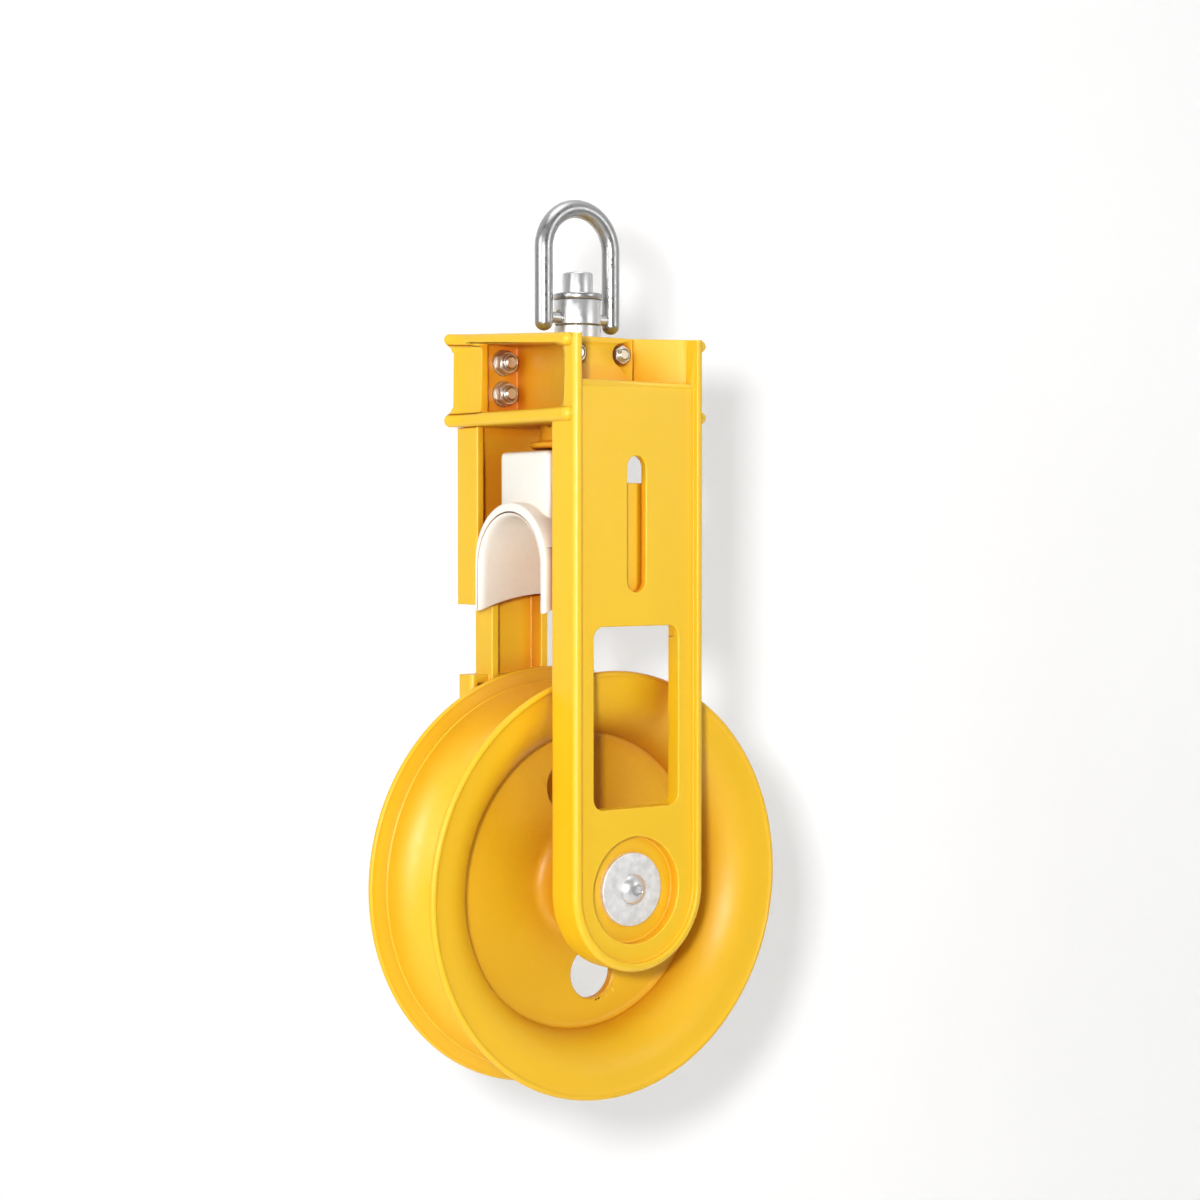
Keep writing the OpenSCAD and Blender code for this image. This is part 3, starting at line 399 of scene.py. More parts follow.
class Finishes:
    """Every finish of the sheave, made once."""

    # The third colour of each plastic is painted shade for its hollows: deep orange on the yellow, orange
    # bounced light from the yellow parts on the ivory, darker brown on the bushing.
    SLOTS = {
        Slot.YELLOW: MouldedPlastic(
            "yellow_moulding", body=(0.86, 0.52, 0.006), flow=(0.88, 0.54, 0.010), painted_shade=(0.62, 0.14, 0.0004),
            gloss=0.43, shine=0.75, edge=0.0006,
        ),
        Slot.WHITE: MouldedPlastic(
            "ivory_moulding", body=(0.88, 0.855, 0.78), flow=(0.90, 0.88, 0.81), painted_shade=(0.52, 0.23, 0.05),
            reach=0.09, gloss=0.38, grain=0.08,
        ),
        Slot.STAINLESS: WorkedSteel(
            "satin_stainless", bright=(0.72, 0.72, 0.72), dull=(0.66, 0.66, 0.66), gloss=0.36, marks=0.03,
            edge=0.0003,
        ),
        Slot.POLISHED: TurnedSteel("turned_stainless", bright=(0.66, 0.655, 0.65), gloss=0.28),
        Slot.ZINC: WorkedSteel(
            "zinc_plate", bright=(0.66, 0.64, 0.59), dull=(0.56, 0.54, 0.49), gloss=0.32, marks=0.05,
            edge=0.0002,
        ),
        Slot.AXLE: WorkedSteel(
            "ground_axle", bright=(0.58, 0.58, 0.59), dull=(0.46, 0.46, 0.46), gloss=0.3, run=(1.0, 0.1, 1.0)
        ),
        Slot.BUSHING: MouldedPlastic(
            "bushing", body=(0.16, 0.12, 0.06), flow=(0.20, 0.15, 0.08), painted_shade=(0.12, 0.09, 0.04),
            gloss=0.5, edge=0.0003,
        ),
    }
    LOOKS = {
        Look.POLISHED: WorkedSteel(
            "polished_bar", bright=(0.44, 0.44, 0.44), dull=(0.42, 0.42, 0.42), gloss=0.3, marks=0.01
        ),
        Look.FACED: TurnedSteel("faced_washer", bright=(0.97, 0.97, 0.965), gloss=0.62),
        # The wheel's painted shade is darker and reaches farther, for the hollows round its web.
        Look.WHEEL: MouldedPlastic(
            "wheel_moulding", body=(0.86, 0.50, 0.006), flow=(0.88, 0.52, 0.010), painted_shade=(0.46, 0.09, 0.0004),
            reach=0.13, gloss=0.45, shine=0.6, edge=0.0006,
        ),
    }

    def __init__(self) -> None:
        """Builds all the materials."""
        self.by_slot = {slot: finish.material() for slot, finish in self.SLOTS.items()}
        self.by_look = {look: finish.material() for look, finish in self.LOOKS.items()}

    def dress(self, piece: Piece, slot: Slot, look: Look | None = None) -> None:
        """Gives a piece the finish of its slot, or a look of its own."""
        piece.data.materials.clear()
        piece.data.materials.append(self.by_look[look] if look else self.by_slot[slot])


class Bench:
    """The modelling moves that every sub-assembly shares."""

    @staticmethod
    def leave() -> None:
        """Leaves edit mode."""
        bpy.ops.object.mode_set(mode="OBJECT")

    @staticmethod
    def edit() -> None:
        """Enters edit mode with everything selected."""
        bpy.ops.object.mode_set(mode="EDIT")
        bpy.ops.mesh.select_all(action="SELECT")

    @classmethod
    def clear(cls) -> None:
        """Leaves edit mode and deselects everything."""
        if bpy.context.object and bpy.context.object.mode != "OBJECT":
            cls.leave()
        bpy.ops.object.select_all(action="DESELECT")

    @classmethod
    def pick(cls, piece: Piece) -> None:
        """Selects one piece alone.

        Args:
            piece: The piece.
        """
        cls.clear()
        piece.select_set(True)
        bpy.context.view_layer.objects.active = piece

    @classmethod
    def settle(cls, name: str) -> Piece:
        """Names the new piece and puts its place into its mesh.

        Args:
            name: The piece's name.

        Returns:
            The piece.
        """
        piece = bpy.context.object
        cls.pick(piece)
        bpy.ops.object.transform_apply(location=True, rotation=True, scale=True)
        piece.name = piece.data.name = name
        return piece

    @classmethod
    def block(cls, name: str, low: Point, high: Point) -> Piece:
        """A block between two corners.

        Args:
            name: The piece's name.
            low: Its lowest corner.
            high: Its highest corner.

        Returns:
            The block.
        """
        cls.clear()
        a, b = Vector(low), Vector(high)
        bpy.ops.mesh.primitive_cube_add(size=1.0, location=(a + b) / 2, scale=b - a)
        return cls.settle(name)

    @classmethod
    def rod(cls, name: str, start: Point, end: Point, radius: float, sides: int = 64) -> Piece:
        """A round or many-sided rod between two points.

        Args:
            name: The piece's name.
            start: The middle of one end.
            end: The middle of the other end.
            radius: Its radius.
            sides: The number of its sides.

        Returns:
            The rod.
        """
        cls.clear()
        a, b = Vector(start), Vector(end)
        bpy.ops.mesh.primitive_cylinder_add(
            vertices=sides,
            radius=radius,
            depth=(b - a).length,
            location=(a + b) / 2,
            rotation=(b - a).to_track_quat("Z", "Y").to_euler(),
        )
        return cls.settle(name)

    @classmethod
    def trace(cls, name: str, points: Iterable[Point], closed: bool = True) -> Piece:
        """Draws an outline, one extruded point after another.

        Args:
            name: The piece's name.
            points: The outline's points in order.
            closed: Whether the last point joins the first.

        Returns:
            The outline, as edges only.
        """
        route = [Vector(p) for p in points]
        cls.clear()
        bpy.ops.mesh.primitive_plane_add(size=MM, location=route[0])
        piece = cls.settle(name)
        bpy.ops.object.mode_set(mode="EDIT")
        bpy.ops.mesh.select_mode(type="VERT")
        bpy.ops.mesh.select_all(action="SELECT")
        bpy.ops.mesh.merge(type="CENTER")
        for here, there in zip(route, route[1:]):
            bpy.ops.mesh.extrude_vertices_move(TRANSFORM_OT_translate={"value": there - here})
        if closed:
            cls.leave()
            for vertex in piece.data.vertices:
                vertex.select = vertex.index in (0, len(piece.data.vertices) - 1)
            bpy.ops.object.mode_set(mode="EDIT")
            bpy.ops.mesh.edge_face_add()
        cls.leave()
        return piece

    @classmethod
    def prism(cls, name: str, points: Iterable[Point], shift: Point) -> Piece:
        """Fills an outline and gives it thickness.

        Args:
            name: The piece's name.
            points: The outline's points in order.
            shift: The way from one end of the prism to the other.

        Returns:
            The prism.
        """
        piece = cls.trace(name, points)
        cls.edit()
        bpy.ops.mesh.edge_face_add()
        bpy.ops.mesh.extrude_region_move(TRANSFORM_OT_translate={"value": shift})
        cls.close(piece)
        return piece

    @classmethod
    def lathe(
        cls, name: str, outline: Iterable[Flat], centre: Point, axis: Axis, steps: int = 96
    ) -> Piece:
        """Turns an outline about an axis; one that starts off the axis is closed.

        Args:
            name: The piece's name.
            outline: Points as radius and place along the axis, in millimetres.
            centre: A point on the axis.
            axis: The axis.
            steps: The number of steps in a full turn.

        Returns:
            The turned piece.
        """
        along = Vector(axis.value)
        out = Vector(Axis.X.value if axis is not Axis.X else Axis.Z.value)
        middle = Vector(centre)
        route = list(outline)
        points = [tuple(middle + out * r * MM + along * a * MM) for r, a in route]
        piece = cls.trace(name, points, closed=route[0][0] > 0)
        cls.edit()
        bpy.ops.mesh.spin(steps=steps, angle=2 * math.pi, center=middle, axis=along)
        cls.close(piece)
        return piece

    @classmethod
    def close(cls, piece: Piece, reach: float = 1e-6) -> None:
        """Merges doubled points and turns the faces outwards.

        Args:
            piece: The piece.
            reach: The distance within which points merge.
        """
        cls.pick(piece)
        cls.edit()
        bpy.ops.mesh.remove_doubles(threshold=reach)
        bpy.ops.mesh.normals_make_consistent(inside=False)
        cls.leave()

    @classmethod
    def choose(cls, piece: Piece, kind: str, test: Callable[..., bool]) -> None:
        """Enters edit mode with some faces or edges selected.

        Args:
            piece: The piece.
            kind: FACE or EDGE.
            test: Says which ones, from a face's centre and normal or an edge's two ends.
        """
        cls.pick(piece)
        bpy.ops.object.mode_set(mode="EDIT")
        bpy.ops.mesh.select_mode(type=kind)
        bpy.ops.mesh.select_all(action="DESELECT")
        cls.leave()
        mesh = piece.data
        if kind == "FACE":
            for face in mesh.polygons:
                face.select = test(face.center, face.normal)
        else:
            for edge in mesh.edges:
                edge.select = test(*(mesh.vertices[i].co for i in edge.vertices))
        bpy.ops.object.mode_set(mode="EDIT")

    @classmethod
    def bevel(cls, width: float, segments: int) -> None:
        """Rounds the selected edges by a width in millimetres."""
        size = {"offset": width * MM, "segments": segments}
        bpy.ops.mesh.bevel(**size, affect="EDGES", clamp_overlap=False, loop_slide=False)
        cls.leave()

    @classmethod
    def ease(cls, piece: Piece, test: Callable[..., bool], width: float, segments: int) -> None:
        """Rounds the edges whose two ends pass a test, by a width in millimetres."""
        cls.choose(piece, "EDGE", test)
        cls.bevel(width, segments)

    @classmethod
    def repeat(cls, piece: Piece, shifts: Iterable[Point]) -> Piece:
        """Sets copies of a piece beside it and joins them all.

        Args:
            piece: The piece at its first place.
            shifts: The way from there to each of the other places.

        Returns:
            The joined piece.
        """
        pieces = [piece]
        for shift in shifts:
            cls.pick(piece)
            bpy.ops.object.duplicate(linked=False)
            bpy.ops.transform.translate(value=shift)
            pieces.append(cls.settle(piece.name))
        return cls.join(pieces, piece.name)

    @classmethod
    def copy(cls, node: Piece, name: str) -> Piece:
        """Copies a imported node's mesh to shape it further.

        Args:
            node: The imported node.
            name: The copy's name.

        Returns:
            The merged copy.
        """
        cls.clear()
        piece = bpy.data.objects.new(name, node.data.copy())
        piece.data.name = name
        bpy.context.scene.collection.objects.link(piece)
        cls.close(piece, 2e-6)
        return piece

    @classmethod
    def modify(cls, piece: Piece, kind: str, settings: dict) -> None:
        """Adds a modifier and applies it.

        Args:
            piece: The piece.
            kind: The modifier's type.
            settings: Its properties.
        """
        cls.pick(piece)
        modifier = piece.modifiers.new(kind.lower(), kind)
        for key, value in settings.items():
            setattr(modifier, key, value)
        bpy.ops.object.modifier_apply(modifier=modifier.name)

    @classmethod
    def soften(
        cls,
        piece: Piece,
        width: float,
        segments: int = 2,
        angle: float = 35.0,
        test: Callable[..., bool] = lambda a, b: True,
    ) -> None:
        """Rounds the sharp edges of a piece.

        Args:
            piece: The piece.
            width: The width of the rounding in millimetres.
            segments: The number of its facets.
            angle: The least angle of an edge that is rounded, in degrees.
            test: Says which of them, from their two ends.
        """
        cls.choose(piece, "EDGE", lambda a, b: False)
        bpy.ops.mesh.edges_select_sharp(sharpness=math.radians(angle))
        cls.leave()
        ends = piece.data.vertices
        for edge in piece.data.edges:
            edge.select = edge.select and test(*(ends[i].co for i in edge.vertices))
        bpy.ops.object.mode_set(mode="EDIT")
        cls.bevel(width, segments)

    @classmethod
    def carve(cls, piece: Piece, cutter: Piece, mode: str = "DIFFERENCE") -> None:
        """Shapes a piece by another, which is used up: DIFFERENCE, UNION or INTERSECT."""
        cls.modify(piece, "BOOLEAN", {"operation": mode, "object": cutter, "solver": "EXACT"})
        bpy.data.objects.remove(cutter)

    @classmethod
    def smooth(cls, piece: Piece, angle: float = 30.0, weigh: bool = False) -> None:
        """Shades a piece smooth up to an angle.

        Args:
            piece: The piece.
            angle: The angle in degrees above which an edge stays sharp.
            weigh: Whether large faces keep flat shading beside narrow ones.
        """
        cls.pick(piece)
        bpy.ops.object.shade_smooth_by_angle(angle=math.radians(angle))
        if weigh:
            cls.modify(piece, "WEIGHTED_NORMAL", {"keep_sharp": True, "weight": 100})

    @classmethod
    def join(cls, pieces: list[Piece], name: str) -> Piece:
        """Joins pieces into one object.

        Args:
            pieces: The pieces.
            name: The joined piece's name.

        Returns:
            The joined piece.
        """
        cls.clear()
        for piece in pieces:
            piece.select_set(True)
        bpy.context.view_layer.objects.active = pieces[0]
        bpy.ops.object.join()
        return cls.settle(name)


def arc(centre: Flat, radius: float, start: float, end: float, count: int) -> list[Flat]:
    """So many points along an arc, from one angle in degrees to another."""
    turns = (math.radians(start + (end - start) * i / (count - 1)) for i in range(count))
    return [(centre[0] + radius * math.cos(t), centre[1] + radius * math.sin(t)) for t in turns]


def corner_of(across: float) -> float:
    """The radius to the corners of a hexagon of that width across its flats."""
    return across / 2 / math.cos(math.pi / 6)


@dataclass
class Dresser:
    """Makes pieces ride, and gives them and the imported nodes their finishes.

    Attributes:
        finishes: The materials.
        done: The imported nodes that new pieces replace.
    """

    frame: dict
    finishes: Finishes
    done: set[str] = field(default_factory=set)

    def node(self, name: str) -> Piece:
        """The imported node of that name."""
        return self.frame["nodes"][name]

    def put(
        self, piece: Piece, body: Body, slot: Slot, nodes: Iterable[str], look: Look | None = None
    ) -> None:
        """Finishes a new piece.

        Args:
            piece: The piece.
            body: The body that it rides on.
            slot: The slot of its finish.
            nodes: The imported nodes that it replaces.
            look: Its own finish, if it has one.
        """
        self.finishes.dress(piece, slot, look)
        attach(piece, body.value)
        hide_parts(*nodes)
        self.done.update(nodes)
        LOG.info("%s: %d faces, on %s", piece.name, len(piece.data.polygons), body.value)

    def rest(self) -> None:
        """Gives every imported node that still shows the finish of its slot."""
        slots = {entry["node"]: entry["material_slot"] for entry in self.frame["record"]["subparts"]}
        for name, node in self.frame["nodes"].items():
            self.finishes.dress(node, Slot(slots[name]))
            if name not in self.done:
                LOG.info("%s: packed node, %s", name, slots[name])


@dataclass
class SubAssembly:
    """A group of the sheave's pieces that is modelled and dressed together.

    Attributes:
        dresser: Finishes the pieces.
    """

    dresser: Dresser


@dataclass
class Wheel(SubAssembly):
    """The grooved wheel, turned from one outline, in millimetres.

    Attributes:
        rim_r: Radius over the rims.
        half_w: Half the width over the rims.
        edge_r: Radius of the rims' rounded edges.
        groove_c: Distance from the axle to the centre of the groove's round.
        groove_r: Radius of the groove.
        wall: Thickness of the groove's wall.
        web: Half the thickness of the web.
        hub_r: Radius of the hub's bore.
        hub_half: Half the length of the hub.
        hole_r: Radius of the holes in the web.
        hole_at: Distance of the holes from the axle.
        hole_turn: Angle of the first hole from straight below, in degrees.
        chamfer: Width of the holes' chamfers.
        steps: The number of steps in the full turn.
    """

    rim_r: float = 100.0
    half_w: float = 27.25
    edge_r: float = 1.75
    groove_c: float = 95.0
    groove_r: float = 20.5
    wall: float = 5.0
    web: float = 2.3
    hub_r: float = 13.0
    hub_half: float = 26.5
    hole_r: float = 12.3
    hole_at: float = 45.5
    hole_turn: float = 8.6
    chamfer: float = 0.6
    steps: int = 200

    def side(self) -> list[Flat]:
        """One side of the wheel's outline, from the hub out and back down the groove.

        Returns:
            Points as radius and distance from the middle plane, in millimetres.
        """
        outer = self.groove_r + self.wall
        c = self.groove_c
        hub = [
            (self.hub_r, self.hub_half), (19.2, self.hub_half), (20.2, 26.3), (20.9, 25.6), (21.1, 24.6),
            (22.0, 9.0), (22.6, 6.6), (23.6, 4.6), (25.0, 3.2), (27.0, 2.45), (29.0, self.web),
        ]
        foot = [(40.0, self.web), (60.0, self.web), (67.4, self.web), (68.6, 2.5), (69.5, 3.1), (70.05, 4.0)]
        dish = arc((c, 0), outer, 168.8, 100.5, 22)
        lip = [(91.6, 25.35), (93.0, 25.6), (94.6, 25.98), (96.4, 26.42), (97.6, 26.85)]
        edge = self.edge_r
        rim = arc((self.rim_r - edge, self.half_w - edge), edge, 100, -60, 12)
        inner = [
            (98.4, 23.95), (97.2, 23.65), (95.2, 23.2), (93.7, 22.85), (92.95, 22.65), (92.5, 22.35),
            (92.42, 22.0), (92.6, 21.72), (93.0, 21.62), (93.45, 21.5), (93.62, 21.15), (93.55, 20.75),
        ]
        groove = arc((c, 0), self.groove_r, 95.2, 180, 26)
        return hub + foot + dish + lip + rim + inner + groove

    def build(self) -> None:
        """Models and dresses the wheel."""
        side = self.side()
        outline = side + [(r, -y) for r, y in reversed(side)][1:]
        wheel = Bench.lathe("wheel", outline, (0, 0, AXLE_Z), Axis.Y, self.steps)
        r, t, chamfer, out = self.hole_r, self.web, self.chamfer, 20.0
        half = [(r + out - t, out), (r + chamfer, t), (r, t - chamfer)]
        hole = [(0, -out)] + [(a, -b) for a, b in half] + half[::-1] + [(0, out)]
        for turn in (self.hole_turn, self.hole_turn + 180):
            a = math.radians(turn)
            place = at(self.hole_at * math.sin(a), 0, -self.hole_at * math.cos(a))
            Bench.carve(wheel, Bench.lathe("cutter", hole, place, Axis.Y, 72))
        Bench.smooth(wheel, 32.0)
        self.dresser.put(wheel, Body.SHEAVE, Slot.YELLOW, ["sheave_wheel"], Look.WHEEL)


@dataclass
class Mouldings(SubAssembly):
    """The yellow mouldings, with their mould edges rounded, in millimetres.

    Attributes:
        width: The width of the rounding.
        segments: The number of its facets.
        head: Height above which the head's short edges stay as they are.
        least: The least length of an edge that is rounded.
        long: The least length of an edge of the head that is rounded.
    """

    width: float = 0.6
    segments: int = 3
    head: float = 213.0
    least: float = 0.5
    long: float = 4.0

    def rounded(self, a: Vector, b: Vector) -> bool:
        """Says whether the edge between two points is rounded."""
        low = max(a.z, b.z) < AXLE_Z + self.head * MM
        return (a - b).length > (self.least if low else self.long) * MM

    def build(self) -> None:
        """Models and dresses the mouldings."""
        for node in ("main_frame", "rear_strap", "clamp_block", "guide_slide_front", "guide_slide_rear"):
            piece = Bench.copy(self.dresser.node(node), f"{node}_moulding")
            Bench.soften(piece, self.width, self.segments, test=self.rounded)
            Bench.smooth(piece, 30.0, weigh=True)
            body = Body.GUIDE if node.startswith("guide") else Body.FRAME
            self.dresser.put(piece, body, Slot.YELLOW, [node])


@dataclass
class Guide(SubAssembly):
    """The white guide shoe: a bell-mouthed arch with a rounded block on it, in millimetres.

    Attributes:
        ends: The shoe's ends along the cable.
        inner: Radius and centre height of the round inside.
        outer: Radius and centre height of the round outside.
        block_ends: The block's ends along the cable.
        block_half: Half the block's width.
        block_top: Height of the block's top.
        block_round: Radius of the block's corners.
        top_round: Radius of the edge round the block's top.
        mouth: Length of the bell mouths.
        flare: Growth of the bell mouths.
        lip: Radius of the edge round the bell mouths.
        fall: How far the guide falls.
        sweep: Radius of the arch that clears the wheel when the guide is down.
        foot: Height that all of the shoe stands over.
        past: How far a cutter goes past the shoe.
    """

    ends: Flat = (-40.0, 19.0)
    inner: Flat = (23.5, 148.0)
    outer: Flat = (28.2, 150.0)
    block_ends: Flat = (-32.0, 11.0)
    block_half: float = 19.6
    block_top: float = 202.0
    block_round: float = 4.0
    top_round: float = 2.4
    mouth: float = 5.0
    flare: float = 2.5
    lip: float = 1.6
    fall: float = 30.5
    sweep: float = 104.6
    foot: float = 100.0
    past: float = 5.0

    def bar(self, name: str, round_: Flat, start: float, end: float, foot: float) -> Piece:
        """A bar with a round top and straight sides.

        Args:
            name: The bar's name.
            round_: Radius and centre height of its top.
            start: Its left end.
            end: Its right end.
            foot: The height of its underside.

        Returns:
            The bar.
        """
        radius, height = round_
        route = [(radius, foot)] + arc((0, height), radius, 0, 180, 49) + [(-radius, foot)]
        return Bench.prism(name, [at(start, y, z) for y, z in route], ((end - start) * MM, 0, 0))

    def bore(self) -> Piece:
        """The hollow of the shoe, which widens at both ends.

        Returns:
            The hollow as a solid.
        """
        left, right = self.ends
        radius, height = self.inner
        bore = self.bar("bore", self.inner, left + self.mouth, right - self.mouth, self.foot - 2 * self.past)
        for way, end in ((-1, left + self.mouth), (1, right - self.mouth)):
            Bench.choose(bore, "FACE", lambda centre, normal: normal.x * way > 0.9)
            before, size, steps = 0.0, radius, 7
            for step in range(1, steps + 1):
                turn = math.radians(90 * step / steps)
                ahead, grown = self.mouth * math.sin(turn), radius + self.flare * (1 - math.cos(turn))
                bpy.ops.mesh.extrude_region_move(
                    TRANSFORM_OT_translate={"value": (way * (ahead - before) * MM, 0, 0)}
                )
                bpy.ops.transform.resize(
                    value=(1, grown / size, grown / size), center_override=at(end + way * ahead, 0, height)
                )
                before, size = ahead, grown
            bpy.ops.mesh.extrude_region_move(TRANSFORM_OT_translate={"value": (way * self.past * MM, 0, 0)})
            Bench.leave()
        return bore

    def build(self) -> None:
        """Models and dresses the shoe."""
        left, right = self.ends
        shoe = self.bar("guide_shoe_moulding", self.outer, left, right, self.foot)
        Bench.ease(shoe, lambda a, b: abs(a.x - b.x) < 1e-6, self.lip, 4)
        x0, x1 = self.block_ends
        low, high = at(x0, -self.block_half, self.inner[1]), at(x1, self.block_half, self.block_top)
        block = Bench.block("block", low, high)
        Bench.ease(block, lambda a, b: abs(a.z - b.z) > 0.01, self.block_round, 7)
        Bench.ease(block, lambda a, b: min(a.z, b.z) > high[2] - 1e-5, self.top_round, 5)
        Bench.carve(shoe, block, "UNION")
        Bench.carve(shoe, self.bore())
        ends = at(0, -60, self.fall), at(0, 60, self.fall)
        Bench.carve(shoe, Bench.rod("sweep", *ends, self.sweep * MM, 400))
        Bench.close(shoe, 5e-6)
        Bench.soften(shoe, 0.5, 2, 50.0)
        Bench.smooth(shoe, 38.0)
        self.dresser.put(shoe, Body.GUIDE, Slot.WHITE, ["guide_shoe"])


@dataclass
class AxleEnds(SubAssembly):
    """The cover washers and the domed screws at both ends of the axle, in millimetres.

    Attributes:
        floors: Where the washers lie, in front and at the rear.
        washer_r: Radius of the washers.
        washer_t: Thickness of the washers.
        bore_r: Radius of the hole in the washers.
        head_r: Radius of the screws' heads.
        head_h: Height of the screws' heads.
        dome: Radius of their domes as a multiple of that radius.
        shank_r: Radius of the screws' shanks.
        shank_l: Length of the shanks.
        socket: Width of the sockets across their flats.
        socket_deep: Depth of the sockets.
    """

    floors: tuple[tuple[str, float], ...] = (("front", -40.0), ("rear", 39.5))
    washer_r: float = 17.0
    washer_t: float = 2.3
    bore_r: float = 4.25
    head_r: float = 7.0
    head_h: float = 4.4
    dome: float = 1.32
    shank_r: float = 4.0
    shank_l: float = 21.0
    socket: float = 5.0
    socket_deep: float = 2.6

    def washer(self, side: str, floor: float) -> Piece:
        """One cover washer.

        Args:
            side: The end of the axle.
            floor: Where it lies.

        Returns:
            The washer.
        """
        r, t, bore = self.washer_r, self.washer_t, self.bore_r
        route = [
            (bore, 0), (r, 0), (r, t - 0.55), (r - 0.12, t - 0.25), (r - 0.45, t - 0.04), (r - 0.8, t),
            (5.0, t), (4.6, t - 0.1), (bore, t - 0.4),
        ]
        way = 1 if floor > 0 else -1
        outline = [(a, floor + way * b) for a, b in route]
        return Bench.lathe(f"axle_washer_{side}_turned", outline, (0, 0, AXLE_Z), Axis.Y, 128)

    def screw(self, side: str, floor: float) -> Piece:
        """One domed screw, with a chamfered hexagonal socket.

        Args:
            side: The end of the axle.
            floor: Where its washer lies.

        Returns:
            The screw.
        """
        r, h, shank, tip = self.head_r, self.head_h, self.shank_r, -self.shank_l
        ball = self.dome * r
        turns = [math.radians(a) for a in range(0, 48, 3)]
        dome = [(ball * math.sin(t), h - ball + ball * math.cos(t)) for t in turns]
        rim = [(r - 0.1, 1.35), (r, 1.1), (r, 0.25), (r - 0.25, 0)]
        route = dome + rim + [(shank, 0), (shank, tip + 1), (shank - 0.7, tip), (0, tip)]
        way = 1 if floor > 0 else -1
        seat = floor + way * self.washer_t
        outline = [(a, seat + way * b) for a, b in route]
        screw = Bench.lathe(f"axle_screw_{side}_domed", outline, (0, 0, AXLE_Z), Axis.Y, 72)
        corner, top = corner_of(self.socket), seat + way * h
        ends = at(0, top - way * self.socket_deep, 0), at(0, top + way * 2, 0)
        Bench.carve(screw, Bench.rod("hexagon", *ends, corner * MM, 6))
        low, high, wide = top - way * 0.55, top + way * 0.35, corner + 0.65
        mouth = [(0, low), (corner - 0.25, low), (wide, high), (wide, top + way * 2), (0, top + way * 2)]
        Bench.carve(screw, Bench.lathe("mouth", mouth, (0, 0, AXLE_Z), Axis.Y, 48))
        return screw

    def build(self) -> None:
        """Models and dresses the washers and the screws."""
        for side, floor in self.floors:
            washer = self.washer(side, floor)
            Bench.smooth(washer, 40.0)
            self.dresser.put(washer, Body.FRAME, Slot.POLISHED, [f"axle_washer_{side}"], Look.FACED)
            screw = self.screw(side, floor)
            Bench.smooth(screw, 35.0)
            self.dresser.put(screw, Body.FRAME, Slot.STAINLESS, [f"axle_screw_{side}"])


@dataclass(frozen=True)
class LockNut:
    """A lock nut with a round collar, seen from its outer end towards +Y, in millimetres.

    Attributes:
        across: Width across the flats.
        height: Height of the hexagon.
        collar_r: Radius of the collar.
        collar_h: Height of the collar.
        bore_r: Radius of the bolt.
        bolt_out: How far the bolt's end stands out.
        pitch: Pitch of the thread.
    """

    across: float
    height: float
    collar_r: float
    collar_h: float
    bore_r: float
    bolt_out: float
    pitch: float = 0.8

    def nut(self, name: str, x: float, seat: float, z: float) -> Piece:
        """The nut on a seat that faces the front.

        Args:
            name: The nut's name.
            x: Its place along the cable.
            seat: The seat's place along the axle.
            z: Its height above the axle.

        Returns:
            The nut.
        """
        end = seat - self.height
        half, corner = self.across / 2, corner_of(self.across)
        nut = Bench.rod(name, at(x, seat, z), at(x, end, z), corner * MM, 6)
        slope, flat, wide = 0.5 * (corner - half) + 0.18, half - 0.1, corner + 0.05
        crown = [
            (0, end), (flat, end), (wide, end + slope), (wide, seat - slope * 0.7), (flat, seat), (0, seat),
        ]
        Bench.carve(nut, Bench.lathe("crown", crown, at(x, 0, z), Axis.Y, 72), "INTERSECT")
        r, top = self.collar_r, end - self.collar_h
        collar = [
            (0, end + 0.4), (r, end + 0.4), (r, top + 0.5), (r - 0.12, top + 0.2), (r - 0.4, top),
            (r - 0.7, top + 0.05), (r - 0.85, top + 0.3), (self.bore_r + 0.05, top + 0.55), (0, top + 0.55),
        ]
        Bench.carve(nut, Bench.lathe("collar", collar, at(x, 0, z), Axis.Y, 72), "UNION")
        ends = at(x, seat + 2, z), at(x, top - 2, z)
        Bench.carve(nut, Bench.rod("bore", *ends, (self.bore_r + 0.02) * MM, 48))
        Bench.smooth(nut, 28.0)
        return nut

    def shank(self, name: str, x: float, seat: float, z: float, root: float) -> Piece:
        """The bolt's shank, its turned threads showing at its free end.

        Args:
            name: The shank's name.
            x: Its place along the cable.
            seat: The nut's seat along the axle.
            z: Its height above the axle.
            root: Where its other end is.

        Returns:
            The shank.
        """
        r = self.bore_r
        tip = seat - self.height - self.collar_h - self.bolt_out
        route = [(0, tip + 0.12), (r - 1.0, tip), (r - 0.55, tip), (r - 0.3, tip + 0.2)]
        thread, crest, root_r = tip + 0.3, r - 0.02, r - 0.34
        while thread < seat - self.height + 0.5:
            route += [(crest, thread + 0.1), (crest, thread + 0.3), (root_r, thread + 0.55)]
            thread += self.pitch
        route += [(r, seat), (r, root), (0, root)]
        return Bench.lathe(name, route, at(x, 0, z), Axis.Y, 48)


